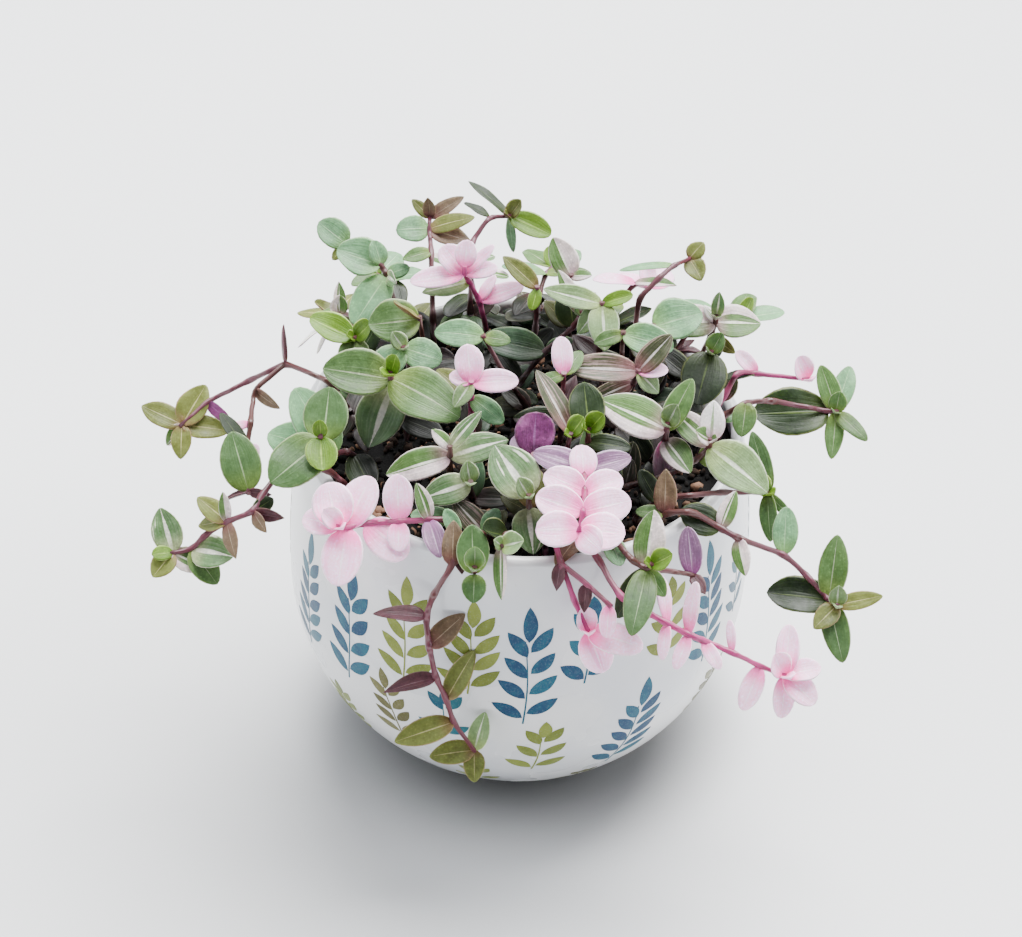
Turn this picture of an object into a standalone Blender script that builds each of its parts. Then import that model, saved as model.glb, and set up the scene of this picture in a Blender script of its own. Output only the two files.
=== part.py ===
"""A turtle vine (Callisia repens) in a round glazed pot, about 140 mm across.

Run it with: blender --background --python part.py

Everything is set out in millimetres in a frame whose origin is the middle of
the pot's base, with +Z up and the front of the pot towards -Y, and it is turned
into metres when a mesh is made.

The plant is a table of vines. A vine is one or more runs of joints, and each
joint is a place and the leaves that grow there. The first run starts in the
soil, in a plain hole, and later runs branch off a joint of an earlier one.
A leaf's heading is measured round the joint as seen from above and in front:
0 is to the right, 90 to the back, 180 to the left and 270 to the front.
Leaves that would cut through a neighbour are turned, lifted or shortened by a
fixed rule until they clear it, as crowded leaves do on the plant.
"""
import math
import random

import bmesh
import bpy
from mathutils import Vector
from mathutils.bvhtree import BVHTree

MM = 0.001
PART = "turtle_vine"

# The pot: a round bowl that is widest at mid height and closes in to its rim.
POT_RADIUS = 70.0
WIDEST_HEIGHT = 60.0
RIM_HEIGHT = 112.0
RIM_RADIUS = 65.0
WALL = 4.0
FLOOR_THICKNESS = 6.0
FOOT_RADIUS = 34.0
TURNED_STEPS = 32

# The soil fills the pot to a little under its rim, with a slight crown.
SOIL_EDGE = 103.0
SOIL_CROWN = 106.5
SOIL_GAP = 0.3
HOLE_FLOOR = 90.0
HOLE_GAP = 0.45

# The stems and the leaves.
STEM_RADIUS = 1.1
BRANCH_RADIUS = 1.04
TIP_EXTRA = 0.9
STEM_BEVEL = 0
TIP_SHARE = 0.7
ROOT_TIP = 90.4
STEM_UPRIGHT_TO = 107.5
BLADE_THICKNESS = 0.8
CLEARANCE = 0.4
SLIVER = 0.01
FLAT = math.radians(0.2)

# How much larger than its entry each leaf is made.
GROWTH = 1.06

# How a leaf stands unless its entry says otherwise, in degrees.
USUAL_RISE = 12.0
TO_THE_LIGHT = Vector((0.0, -0.5, 0.87)).normalized()
TO_THE_BACK = Vector((0.0, 0.15, 1.0)).normalized()

# Stations along a blade: share of its length, and its width there. Small
# leaves have fewer of them.
LARGE_OUTLINE = ((0.0, 0.12), (0.18, 0.8), (0.46, 1.0), (0.77, 0.72))
MIDDLE_OUTLINE = ((0.0, 0.14), (0.28, 0.95), (0.66, 0.86))
BUD_OUTLINE = ((0.0, 0.22), (0.5, 1.0))
LARGE_FROM = 14.0
BUD_UNDER = 6.5
DROOP = 0.1

# Shaded leaves low on the upright stems, one on each, placed by rule: how long
# they are, how high above the soil they grow, and what colours they come in.
SHADE_SEED = 11
SHADE_LENGTHS = (11.0, 14.5)
SHADE_WIDTH = 0.62
SHADE_LIFT = (4.0, 9.0)
SHADE_COLOURS = ("dark", "grey", "olive", "dark", "half", "green")

# Leaf entries: heading, length, width, colour, then rise and roll if unusual.
# Joint entries: x, y, z and the leaves there. A vine's first joint is x, y.
VINES = {
    "vine_mid_left": ("green", TO_THE_LIGHT, [[
        (-34, -3), (-36, -6, 118),
        (-38, -8, 127, (253, 17, 14, "stripe", 0)),
        (-38, -9, 131, (174, 17.5, 14, "green"), (331, 21, 15, "green")),
        (-38, -9, 133, (60, 6, 5, "young", 60), (240, 6, 5, "young", 60))]]),
    "vine_left_rim": ("green", TO_THE_LIGHT, [[
        (-46, -17), (-50, -21, 114),
        (-53, -24, 115, (160, 19, 12, "blue", 0), (125, 20, 12, "blue", 0)),
        (-56, -26, 121, (86, 14.5, 12.5, "green"), (225, 17.5, 14, "green")),
        (-56.5, -26.8, 123, (275, 9.5, 9, "young", 12), (95, 5, 4.5, "young", 50))]]),
    "vine_left_arm": ("olive", TO_THE_LIGHT, [[
        (-46, -5), (-51, -5, 117), (-56, -3, 125),
        (-70, 7, 124, (93, 11, 4, "purple", 45, 80)),
        (-81, 9, 116), (-94, 7, 109, (318, 8, 4, "violet", 0, 40)),
        (-101, 2, 104, (155, 12.5, 7.5, "olive", 5), (62, 12.5, 9, "olive", 15),
         (355, 12.5, 7.5, "olive", 0), (278, 9.5, 6, "olive", 0), (232, 7, 4.5, "half", -5))], [
        (-70, 6.5, 124), (-79, 3, 117, (318, 9, 4, "brown", 5, 50)),
        (-79, -8, 113, (200, 6, 3, "pink", 10)),
        (-79, -18, 110, (122, 12.5, 5.5, "dark", 15, 30)),
        (-78, -24, 108.5, (76, 7, 4, "pink", 25)),
        (-77, -32, 107, (109, 16, 11, "blue", 20), (195, 7, 4, "purple", 0, 50),
         (350, 6, 3.5, "purple", 0, 50))]]),
    "vine_left_low": ("olive", TO_THE_LIGHT, [[
        (-49, -29), (-54, -32, 115.5), (-66, -30, 116), (-72.5, -37.5, 110),
        (-74.5, -41, 107, (345, 8, 4, "purple", 0, 40),
         (300, 6.5, 4, "brown", 0, 40), (30, 6, 4.5, "dark", 10)),
        (-82, -42, 104, (142, 10, 6, "olive", 10), (182, 8, 5, "olive", 0),
         (98, 8, 3.5, "half", 40), (285, 10, 4.5, "brown", 0, 20)),
        (-88.5, -43, 99.5), (-92, -44.5, 95.5, (350, 11, 10, "stripe", 15), (308, 11, 7.5, "green", -5)),
        (-97.5, -44.5, 94, (108, 12, 8.5, "stripe", 20), (338, 10, 7, "half", 10),
         (242, 8, 6.8, "olive", 5), (195, 5.5, 4.5, "young", 30))]]),
    "vine_upper_left": ("green", TO_THE_LIGHT, [[
        (-33, 22), (-37, 28, 122),
        (-42, 36, 137, (243, 17, 10.5, "blue", 5), (300, 8, 4.5, "stripe", 30, 50),
         (17, 6.5, 5, "blue", 20)),
        (-44, 38, 139, (165, 12.5, 12.5, "blue", 15), (105, 7, 6, "blue", 30)),
        (-52, 46, 140),
        (-55, 49, 139, (147, 10, 9.5, "blue", 20), (230, 6, 4, "olive", 0))]]),
    "vine_round_left": ("green", TO_THE_LIGHT, [[
        (-26, 10), (-29, 12, 122),
        (-31, 13, 137, (191, 13.5, 13.5, "green", 5), (170, 10, 4, "olive", 35, 50))]]),
    "vine_young_left": ("green", TO_THE_LIGHT, [[
        (-43, 9), (-47, 11, 118),
        (-50, 12, 130, (160, 13, 9, "young", 15), (272, 10, 9, "green", 5))]]),
    "vine_blue_left": ("green", TO_THE_LIGHT, [[
        (-28, 2), (-32, 2, 120),
        (-35, 2, 134, (225, 10, 9, "blue", 0), (335, 10.5, 9.5, "blue", 5))]]),
    "vine_white_left": ("variegated", TO_THE_LIGHT, [[
        (-47, 21), (-51, 24, 117),
        (-56, 27, 128, (88, 9, 4, "half", 30, 30), (218, 14.5, 4, "white", 5, 50),
         (236, 12, 3.5, "white", -10, 50))]]),
    "vine_top_arch": ("olive", TO_THE_LIGHT, [[
        (-16, 34), (-17, 37, 124), (-17, 43, 145),
        (-12, 54, 147.3, (150, 8, 4, "olive", 15, 30)),
        (-6, 57, 146, (138, 15, 4.2, "brown", 15, 30), (277, 10, 3.5, "blue", -20, 40),
         (338, 12.5, 7.8, "olive", 0))]]),
    "vine_top_olive": ("olive", TO_THE_LIGHT, [[
        (-27, 26), (-28, 30, 126), (-29, 40, 143, (197, 8, 5, "green", 5)),
        (-30, 48, 146, (185, 9, 9, "blue", 10), (342, 12, 7, "brown", 5),
         (12, 13, 6, "olive", 10)),
        (-30, 53, 147, (32, 11, 5, "brown", 15), (140, 7, 4, "olive", 25),
         (95, 6, 4, "brown", 30))]]),
    "vine_pink_top": ("pink", TO_THE_LIGHT, [[
        (-9, 30), (-11, 29, 119),
        (-14, 28, 134, (18, 12.5, 6, "pink", 15), (60, 8, 4, "pink", 20)),
        (-17, 27, 141, (197, 13, 6, "pale", 5)),
        (-18.5, 26, 144.5, (189, 14.5, 7, "pink", 2), (130, 9.5, 8, "pink", 12),
         (18, 9, 5.5, "pink", 5), (44, 11, 3.5, "pink", 20)),
        (-18.5, 26, 146.5, (85, 7.5, 6.5, "pink", 25))]]),
    "vine_top_mid": ("olive", TO_THE_LIGHT, [[
        (2, 30), (3, 29, 124),
        (3, 28, 139, (140, 12.5, 6, "olive", 20), (260, 6.5, 4, "young", 0))]]),
    "vine_top_right": ("variegated", TO_THE_LIGHT, [[
        (14, 31), (13, 32, 124),
        (13, 32, 141, (117, 11.5, 8.5, "half", 25), (350, 6, 4, "half", 30))]]),
    "vine_star": ("green", TO_THE_LIGHT, [[
        (23, 14), (22, 17, 124),
        (22, 19, 140, (167, 16, 7, "pale", 5), (16, 8.5, 5, "young", 20),
         (275, 13.5, 9, "pale", 5), (228, 10, 6, "pale", 0))]]),
    "vine_centre_main": ("green", TO_THE_LIGHT, [[
        (-5, 13), (-1, 17, 113),
        (6, 20, 122, (173, 17.5, 10.5, "blue", 15), (20, 8, 5, "blue", 20)),
        (14, 20, 131, (100, 10.5, 10, "dark", 25)),
        (16, 21, 135, (120, 13, 5, "half", 40))]]),
    "vine_centre_pale": ("green", TO_THE_LIGHT, [[
        (4, 6), (0, 5, 114), (-6, 5, 124),
        (-12, 6, 136, (172, 13, 8.5, "blue", 5), (350, 7, 5, "green", 10))]]),
    "vine_speckled": ("green", TO_THE_LIGHT, [[
        (28, 4), (28, 6, 122),
        (28, 7, 138, (343, 13.5, 9.5, "blue", 8),
         (200, 8, 5, "green", 0))]]),
    "vine_upper_right": ("olive", TO_THE_LIGHT, [[
        (32, 18), (32, 21, 126), (33, 23, 140),
        (39, 31, 142), (44, 40, 141, (186, 15, 6, "blue", 8, 40)),
        (49, 47, 139, (50, 6, 5.5, "olive", 25), (298, 7.5, 6.5, "olive", 10))]]),
    "vine_round_right": ("green", TO_THE_LIGHT, [[
        (37, 9), (37, 12, 124),
        (37, 14, 136, (20, 13.5, 13, "blue", 10), (325, 8, 6, "dark", 0))]]),
    "vine_striped_right": ("variegated", TO_THE_LIGHT, [[
        (46, 18), (51, 20, 118),
        (55, 21, 129, (320, 8, 4, "olive", -5, 30), (285, 7, 5, "dark", 0)),
        (56, 22, 133, (183, 15.5, 11, "half", 8), (0, 12, 11, "half", 8),
         (135, 5.5, 3, "white", 20)),
        (56, 22, 135, (80, 8, 4, "stripe", 60), (260, 7, 4, "stripe", 60))]]),
    "vine_big_dark": ("green", TO_THE_LIGHT, [[
        (45, 7), (50, 8, 118),
        (53, 8, 126, (280, 13, 8, "white", -8)),
        (54, 9, 131, (254, 15.5, 13, "dark", 5))]]),
    "vine_grey_stripe": ("variegated", TO_THE_LIGHT, [[
        (27, -5), (29, -6, 120), (31, -6, 130, (203, 14, 6, "grey", -5)),
        (32, -6, 134, (178, 19, 9, "grey", 8), (47, 13, 7, "grey", 20),
         (8, 8, 5, "pink", 15), (325, 8, 6, "pale", 0))]]),
    "vine_pink_centre": ("pink", TO_THE_LIGHT, [[
        (-14, -9), (-15, -12, 120),
        (-15, -13, 128, (326, 10.5, 6.5, "blue", 0), (138, 12, 7.5, "olive", 5)),
        (-15, -14, 134, (98, 10, 8, "pink", 25), (7, 12, 7, "pink", 10),
         (160, 6, 5, "pink", 20), (225, 8, 5, "pale", 5))]]),
    "vine_purple_disc": ("purple", TO_THE_LIGHT, [[
        (4, -30), (3, -32, 117), (3, -34, 122, (125, 9, 7, "lilac", 0)),
        (3, -36, 126, (90, 11, 11, "violet", 20))]]),
    "vine_long_grey": ("green", TO_THE_LIGHT, [[
        (11, -25), (12, -28, 118), (13, -30, 129, (116, 19, 8, "grey", 10, 30))]]),
    "vine_centre_right": ("green", TO_THE_LIGHT, [[
        (20, -24), (19, -27, 118),
        (18, -29, 126, (310, 13, 8, "dark", 0), (348, 11, 6, "dark", 5)),
        (18, -29, 130, (95, 12.5, 10, "dark", 15))]]),
    "vine_pink_small": ("pink", TO_THE_LIGHT, [[
        (11, -5), (11, -8, 122),
        (11, -10, 135, (98, 10, 6, "pink", 20), (60, 8.5, 5, "green", 20),
         (200, 7, 4, "green", 0))]]),
    "vine_mid_right": ("variegated", TO_THE_LIGHT, [[
        (35, -18), (38, -21, 116),
        (40, -23, 123, (268, 11, 6, "pink", -5), (303, 12, 8, "half", 0)),
        (40, -24, 127, (155, 18.5, 12, "half", 10), (66, 14.5, 7, "green", 20)),
        (40, -24, 129)]]),
    "vine_right_front": ("variegated", TO_THE_LIGHT, [[
        (25, -30), (30, -33, 114), (40, -32, 117),
        (49, -29, 121, (15, 9, 7, "green", 5)),
        (52, -28, 125, (131, 14, 8, "half", 12), (320, 18.5, 13, "pale", 5)),
        (52, -28, 127, (85, 10, 7, "white", 35))]]),
    "vine_right_run": ("green", TO_THE_LIGHT, [[
        (32, -38), (40, -39, 115), (56, -37, 116),
        (69, -33, 113, (270, 12.5, 5, "green", -5, 20), (312, 9, 3, "green", 0, 30),
         (105, 16, 6, "green", 25))]]),
    "vine_right_low": ("green", TO_THE_LIGHT, [[
        (35, -43), (40, -46, 115.5), (47, -46, 116),
        (55, -48, 112, (158, 11, 9, "dark", 8), (70, 10, 5, "half", 25)),
        (60, -49, 109.5, (278, 9.5, 5, "half", -5, 20)),
        (73, -50, 105, (90, 12, 7, "blue", 20)), (80, -52, 99),
        (86, -56, 94, (173, 15.5, 11, "dark", 8), (84, 16.5, 8, "blue", 20),
         (281, 16, 7.5, "green", 0)),
        (88, -58, 94, (229, 9, 6, "olive", 15), (10, 11.5, 5, "olive", 20))]]),
    "vine_right_dark": ("green", TO_THE_LIGHT, [[
        (52, -6), (58, -4, 118),
        (64, -4, 123, (265, 9.5, 7, "green", 0)),
        (72, 0, 121), (90, 5, 114, (187, 20.5, 14.5, "dark", 10)),
        (92, 5, 114, (108, 13, 6.5, "blue", 25), (72, 14, 6.5, "blue", 20),
         (266, 13, 5.5, "blue", 0), (309, 12, 5, "blue", 5))]]),
    "vine_pink_right": ("pink", TO_THE_LIGHT, [[
        (53, 2), (59, 5, 119), (62, 7, 126),
        (68, 9, 124, (185, 9.5, 5, "dark", 0, 40), (150, 8, 5, "pink", 20)),
        (84, 14, 119)]]),
    "vine_pink_front_left": ("pink", TO_THE_LIGHT, [[
        (-15, -42), (-20, -50, 114),
        (-25, -53, 116, (108, 9.5, 5, "half", 30, 20), (288, 11, 6, "lilac", -5)),
        (-33, -54, 116, (94, 11.5, 8, "pink", 30), (270, 7.5, 6, "pink", 0)),
        (-42, -54, 115, (325, 13, 10.5, "pink", 0)),
        (-47, -55, 114, (69, 14, 10, "pink", 15), (264, 14.5, 11, "pink", 0)),
        (-49, -56, 115, (110, 11.5, 11, "pink", 15), (163, 10, 8, "pink", 15))]]),
    "vine_striped_leaf": ("variegated", TO_THE_LIGHT, [[
        (-12, -36), (-14, -41, 116),
        (-14, -44, 122, (200, 12.5, 8.5, "stripe", 8))]]),
    "vine_variegated": ("variegated", TO_THE_LIGHT, [[
        (-20, -29), (-20, -33, 117),
        (-20, -35, 124, (199, 16.5, 9, "half", 8), (18, 15, 8.5, "stripe", 10)),
        (-20, -35, 127, (49, 12, 4.5, "stripe", 30), (140, 6.5, 4, "half", 30))]]),
    "vine_front_stripe": ("variegated", TO_THE_LIGHT, [[
        (5, -42), (4, -46, 114),
        (2, -49, 118, (270, 15, 13, "stripe", -5), (80, 11, 8, "olive", 0)),
        (2, -49, 122, (123, 15.5, 13, "stripe", 10))]]),
    "vine_front_left_green": ("green", TO_THE_LIGHT, [[
        (-8, -49), (-11, -57, 115.5), (-12, -64, 116),
        (-12, -69, 111, (97, 12, 8.5, "green", 20), (270, 7, 6.5, "green", -5)),
        (-12, -69, 113)]]),
    "vine_front_droop": ("variegated", TO_THE_LIGHT, [[
        (-2, -50), (-4, -57, 115.5),
        (-5, -63, 116, (268, 13, 5, "half", -20, 40))]]),
    "vine_pink_front": ("pink", TO_THE_LIGHT, [[
        (16, -38), (17, -42, 118),
        (17, -43.5, 127.4, (160, 13.5, 8, "lilac", 4), (18, 12, 7, "lilac", 4)),
        (16.7, -46.5, 127, (93, 8.8, 7.5, "pink", 6)),
        (17, -51, 125.6, (155, 11, 8.8, "pink", 6), (24, 10, 8.2, "pink", 6)),
        (16.5, -57, 123.8, (163, 12, 9.6, "pink", 6), (16, 12, 9.6, "pink", 6)),
        (15.6, -62.3, 122, (182, 10.5, 10, "pink", 6), (356, 11, 10.5, "pink", 6),
         (306, 8, 7.5, "pink", 16))]]),
    "vine_front_green": ("green", TO_THE_LIGHT, [[
        (22, -50), (25, -58, 116), (30, -65, 114),
        (34, -66, 112, (86, 14.5, 8.5, "half", 20), (258, 18, 8, "green", -5),
         (235, 14, 6.5, "dark", -10), (282, 8, 5, "green", 0)),
        (35, -66, 113.5)], [
        (34, -66, 112), (41, -63, 109),
        (47, -61, 106, (97, 12, 6.5, "purple", 30), (300, 6, 4, "purple"))]]),
    "vine_pink_front_long": ("pink", TO_THE_LIGHT, [[
        (13, -50), (16, -58, 116), (21, -66, 115), (27, -73, 108), (34, -74, 104),
        (40, -74, 100, (98, 12, 4.5, "pink", 30, 30), (262, 9, 4, "pink", -5, 30)),
        (46, -75, 97, (88, 13, 4.5, "lilac", 30, -30), (250, 9, 4, "pink", -5)),
        (50, -75, 95, (300, 8, 4, "pink", 0)),
        (58, -76, 92, (95, 8, 2.6, "pink", 30)),
        (66, -77, 88, (248, 11.5, 6, "pink", -10)),
        (73, -77, 85, (84, 12.5, 6.5, "pink", 20), (318, 10, 7.5, "pink", 5),
         (268, 10.5, 6, "pink", 0), (22, 9, 7, "pink", 15))]]),
    "vine_pink_front_hanging": ("pink", TO_THE_LIGHT, [[
        (7, -51), (9, -59, 116), (11, -67, 114, (258, 7, 4, "purple", -25, 20)),
        (15, -72, 105),
        (19, -75, 97, (292, 10.5, 9, "pink", -5), (342, 14, 8.5, "pink", 0))], [
        (11, -67, 114), (18, -71, 110.5, (262, 7, 4, "purple", -20, 20)),
        (24, -75, 107, (268, 8, 4.5, "lilac", -15))]]),
    "vine_trailing": ("olive", TO_THE_LIGHT, [[
        (-14, -50), (-17, -59, 116), (-18, -67, 112, (90, 11, 6.5, "brown", 20)),
        (-23, -69, 103), (-25, -69, 95, (175, 13, 6, "purple", 5, 20)),
        (-24, -72, 87, (39, 12, 6.5, "brown", 10)),
        (-22, -74, 77, (192, 13.5, 6, "purple", 0, 20)),
        (-19, -75, 70, (65, 14.5, 6.5, "olive", 15)),
        (-17, -76, 62, (201, 15.5, 7.5, "olive", 5)),
        (-11, -76, 51, (187, 11.5, 7, "olive", 5), (76, 10.5, 6, "green", 15),
         (272, 8, 6, "olive", 0))]]),
    "vine_back_left": ("green", TO_THE_BACK, [[
        (-34, 41), (-39, 49, 118), (-43, 55, 123, (215, 12, 9, "green"), (20, 11, 8, "blue"),
                                    (285, 13, 9, "dark", -12)),
        (-47, 62, 120, (130, 14, 10, "green"), (60, 12, 9, "blue"),
         (100, 6, 5, "young", 45))]]),
    "vine_back_far_left": ("olive", TO_THE_BACK, [[
        (-46, 33), (-52, 40, 118), (-58, 47, 116, (215, 8, 6, "green", 0), (70, 11, 7, "olive")),
        (-60, 53, 110, (160, 12, 8, "olive", 0), (100, 12, 8, "olive", 0))]]),
    "vine_back_mid_left": ("variegated", TO_THE_BACK, [[
        (-15, 49), (-15.5, 52, 113, (222, 13, 9, "green", 5), (318, 13, 9, "stripe", 5)),
        (-16, 55, 118, (232, 13, 9, "dark", 0), (300, 13, 9, "olive", 0)),
        (-18, 62, 122, (195, 12, 9, "stripe"), (340, 12, 9, "half")),
        (-21, 71, 118, (150, 13, 9, "half"), (40, 12, 8, "stripe"), (270, 10, 7, "green"),
         (90, 12, 8, "stripe", -5))]]),
    "vine_back_mid": ("green", TO_THE_BACK, [[
        (3, 50), (3.5, 53, 113, (228, 13, 9, "olive", 5), (312, 13, 9, "green", 5)),
        (4, 57, 118, (240, 13, 9, "grey", 0), (308, 13, 9, "dark", 0)),
        (6, 63, 122, (190, 13, 9, "blue"), (350, 13, 9, "green")),
        (8, 71, 119, (130, 13, 9, "green"), (50, 13, 9, "blue"),
         (90, 7, 6, "young", 40))]]),
    "vine_back_right": ("pink", TO_THE_BACK, [[
        (25, 45), (27, 48, 113, (225, 13, 9, "blue", 5), (320, 13, 9, "dark", 5)),
        (29, 52, 119, (235, 12, 8, "green", 0)),
        (34, 59, 122, (185, 12, 9, "pink"), (345, 12, 8, "half")),
        (39, 67, 115, (140, 12, 8, "pink"), (60, 13, 9, "pink"), (95, 8, 6, "pink", 35))]]),
    "vine_back_far_right": ("green", TO_THE_BACK, [[
        (43, 33), (50, 39, 118, (200, 12, 8, "dark", 0)),
        (58, 45, 120, (320, 12, 8, "green"), (140, 12, 8, "blue")),
        (67, 51, 115, (10, 13, 9, "blue"), (80, 13, 9, "green"), (45, 7, 5, "young", 40))]]),
}

# Stems that stay bare low down, most of them because they run off over the rim.
BARE_STEMS = {
    "vine_left_arm", "vine_left_low", "vine_top_arch", "vine_centre_main", "vine_centre_pale",
    "vine_right_run", "vine_right_low", "vine_right_dark", "vine_pink_right",
    "vine_pink_front_left", "vine_front_left_green", "vine_front_droop", "vine_front_green",
    "vine_pink_front_long", "vine_pink_front_hanging", "vine_trailing",
}

COLOURS = {
    "green": (0.20, 0.36, 0.15),
    "variegated": (0.38, 0.50, 0.32),
    "pink": (0.86, 0.58, 0.70),
    "olive": (0.22, 0.24, 0.09),
    "purple": (0.36, 0.14, 0.40),
    "glaze": (0.86, 0.87, 0.88),
    "soil": (0.035, 0.024, 0.018),
}


def make_material(name, colour, roughness):
    """A plain Principled material in the part's colour."""
    material = bpy.data.materials.new(name)
    material.use_nodes = True
    shader = material.node_tree.nodes["Principled BSDF"]
    shader.inputs["Base Color"].default_value = (*colour, 1.0)
    shader.inputs["Roughness"].default_value = roughness
    shader.inputs["Metallic"].default_value = 0.0
    material.diffuse_color = (*colour, 1.0)
    return material


def link_object(name, data, material=None):
    """An object at the origin, in the part's collection, with its material."""
    if material is not None:
        data.materials.append(material)
    obj = bpy.data.objects.new(name, data)
    bpy.data.collections[PART].objects.link(obj)
    return obj


def evaluated_mesh(obj):
    """A new mesh of the object with its modifiers or its bevel applied."""
    depsgraph = bpy.context.evaluated_depsgraph_get()
    return bpy.data.meshes.new_from_object(obj.evaluated_get(depsgraph))


def discard(obj):
    """Remove an object and its own mesh or curve."""
    data = obj.data
    bpy.data.objects.remove(obj)
    if isinstance(data, bpy.types.Mesh):
        bpy.data.meshes.remove(data)
    else:
        bpy.data.curves.remove(data)


def turned(name, profile, material):
    """Turn a half outline, given as radius and height from the axis up and round, about Z."""
    corners = [(r * MM, 0.0, z * MM) for r, z in reversed(profile)]
    mesh = bpy.data.meshes.new(name)
    mesh.from_pydata(corners, [(i, i + 1) for i in range(len(corners) - 1)], [])
    obj = link_object(name, mesh, material)
    screw = obj.modifiers.new("Turn", "SCREW")
    screw.steps = screw.render_steps = TURNED_STEPS
    screw.use_merge_vertices = True
    screw.merge_threshold = 1e-5
    screw.use_smooth_shade = True
    return obj


def bowl_radius(z, inset=0.0):
    """The pot's radius at a height: a ball below its widest ring, a tall ellipse above."""
    rise = z - WIDEST_HEIGHT
    widest = POT_RADIUS - inset
    if rise < 0:
        return math.sqrt(widest ** 2 - rise ** 2)
    reach = (RIM_HEIGHT - 2 - WIDEST_HEIGHT) / math.sqrt(1 - (RIM_RADIUS / POT_RADIUS) ** 2)
    return widest * math.sqrt(1 - (rise / reach) ** 2)


def pot_profile():
    """The pot's half outline, from the middle of its base round to its inner floor."""
    lip = WALL / 2
    lip_z = RIM_HEIGHT - lip
    outside = [(0, 0), (FOOT_RADIUS, 0)]
    outside += [(bowl_radius(z), z) for z in (1.5, 10, 22, 40, 60, 80, 96)]
    rim = [(RIM_RADIUS - lip + lip * math.cos(a), lip_z + lip * math.sin(a))
           for a in (math.radians(d) for d in (0, 45, 90, 135, 180))]
    inside = [(bowl_radius(z, WALL), z) for z in (SOIL_EDGE, 60, 36, 18, FLOOR_THICKNESS)]
    return outside + rim + inside + [(0, FLOOR_THICKNESS)]


def soil_profile():
    """The soil's half outline, a hair clear of the pot all round."""
    inset = WALL + SOIL_GAP
    bottom = FLOOR_THICKNESS + SOIL_GAP
    side = [(bowl_radius(z, inset), z) for z in (bottom, 18, 36, 60, SOIL_EDGE)]
    return [(0, bottom)] + side + [(40, SOIL_EDGE + 2), (0, SOIL_CROWN)]


def stem_solid(name, points, radius, material=None):
    """A closed stem through the points, a little narrower at its far end."""
    curve = bpy.data.curves.new(name, "CURVE")
    curve.dimensions = "3D"
    curve.bevel_depth = radius * MM
    curve.bevel_resolution = STEM_BEVEL
    curve.use_fill_caps = True
    spline = curve.splines.new("POLY")
    spline.points.add(len(points) - 1)
    for knot, point in zip(spline.points, points):
        knot.co = (*(point * MM), 1.0)
    spline.points[-1].radius = TIP_SHARE
    guide = link_object(name, curve)
    mesh = evaluated_mesh(guide)
    discard(guide)
    bm = bmesh.new()
    bm.from_mesh(mesh)
    bmesh.ops.remove_doubles(bm, verts=bm.verts, dist=1e-6)
    bmesh.ops.recalc_face_normals(bm, faces=bm.faces)
    bm.to_mesh(mesh)
    bm.free()
    return link_object(name, mesh, material)


def blade_solid(name, base, lean, leaf, material):
    """A leaf as a closed solid."""
    verts, faces = blade(base, lean, leaf)
    mesh = bpy.data.meshes.new(name)
    mesh.from_pydata([tuple(v * MM) for v in verts], [], faces)
    return link_object(name, mesh, material)


def surface_tree(obj):
    """An object's surface in millimetres, for finding what would cut through it."""
    mesh = evaluated_mesh(obj)
    corners = [v.co / MM for v in mesh.vertices]
    tree = BVHTree.FromPolygons(corners, [tuple(p.vertices) for p in mesh.polygons])
    bpy.data.meshes.remove(mesh)
    return tree


def past_end(points, extra):
    """The points with the last one moved on, so that the leaves there grow from the side."""
    return points[:-1] + [points[-1] + (points[-1] - points[-2]).normalized() * extra]


def blade_axes(lean, heading, rise, roll):
    """A blade's own directions: along its midrib, across it, and out of its upper face."""
    right = Vector((1, 0, 0)) - lean * lean.x
    right.normalize()
    far = lean.cross(right)
    h = math.radians(heading)
    r = math.radians(rise)
    along = (right * math.cos(h) + far * math.sin(h)) * math.cos(r) + lean * math.sin(r)
    face = (lean - along * lean.dot(along)).normalized()
    across = face.cross(along)
    t = math.radians(roll)
    return along, across * math.cos(t) + face * math.sin(t), face * math.cos(t) - across * math.sin(t)


def outline_for(length):
    """The stations of a leaf of this length."""
    if length < BUD_UNDER:
        return BUD_OUTLINE
    return LARGE_OUTLINE if length >= LARGE_FROM else MIDDLE_OUTLINE


def blade(base, lean, leaf, grow=0.0, outer_only=False):
    """A pointed blade of one thickness, drooping to its tip.

    With grow it is that much larger all round, to test for clearance.
    """
    heading, length, width = leaf[:3]
    rise = leaf[4] if len(leaf) > 4 else USUAL_RISE
    roll = leaf[5] if len(leaf) > 5 else 0.0
    along, across, face = blade_axes(lean, heading, rise, roll)

    def middle(t):
        return base + along * (length * t) - face * (length * DROOP * t * t)

    stations = outline_for(length)[1 if outer_only else 0:]
    verts = []
    skin = face * (BLADE_THICKNESS / 2 + grow)
    for t, share in stations:
        half = across * (width / 2 * share + grow)
        m = middle(t)
        verts += [m + half + skin, m - half + skin, m - half - skin, m + half - skin]
    tip = middle(1.0) + along * grow
    verts += [tip + skin, tip - skin]
    faces = [(3, 2, 1, 0)]
    for i in range(len(stations) - 1):
        for k in range(4):
            a = i * 4 + k
            b = i * 4 + (k + 1) % 4
            faces.append((a, b, b + 4, a + 4))
    last = (len(stations) - 1) * 4
    top, bottom = last + 4, last + 5
    faces += [(last, last + 1, top), (last + 1, last + 2, bottom, top),
              (last + 2, last + 3, bottom), (last + 3, last, top, bottom)]
    return verts, faces


def bending_order():
    """Ways a crowded leaf may move, from the smallest change to the largest."""
    choices = []
    for scale in (1.0, 0.92, 0.84, 0.76, 0.68, 0.6):
        for lift in (0, 6, -6, 12, -12, 20, -20, 30):
            for turn in (0, 7, -7, 14, -14, 22, -22, 32, -32):
                for roll in (0, 20, -20):
                    cost = abs(turn) / 10 + abs(lift) / 10 + abs(roll) / 15 + (1 - scale) * 14
                    choices.append((cost, scale, lift, turn, roll))
    choices.sort(key=lambda choice: choice[0])
    return choices


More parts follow.
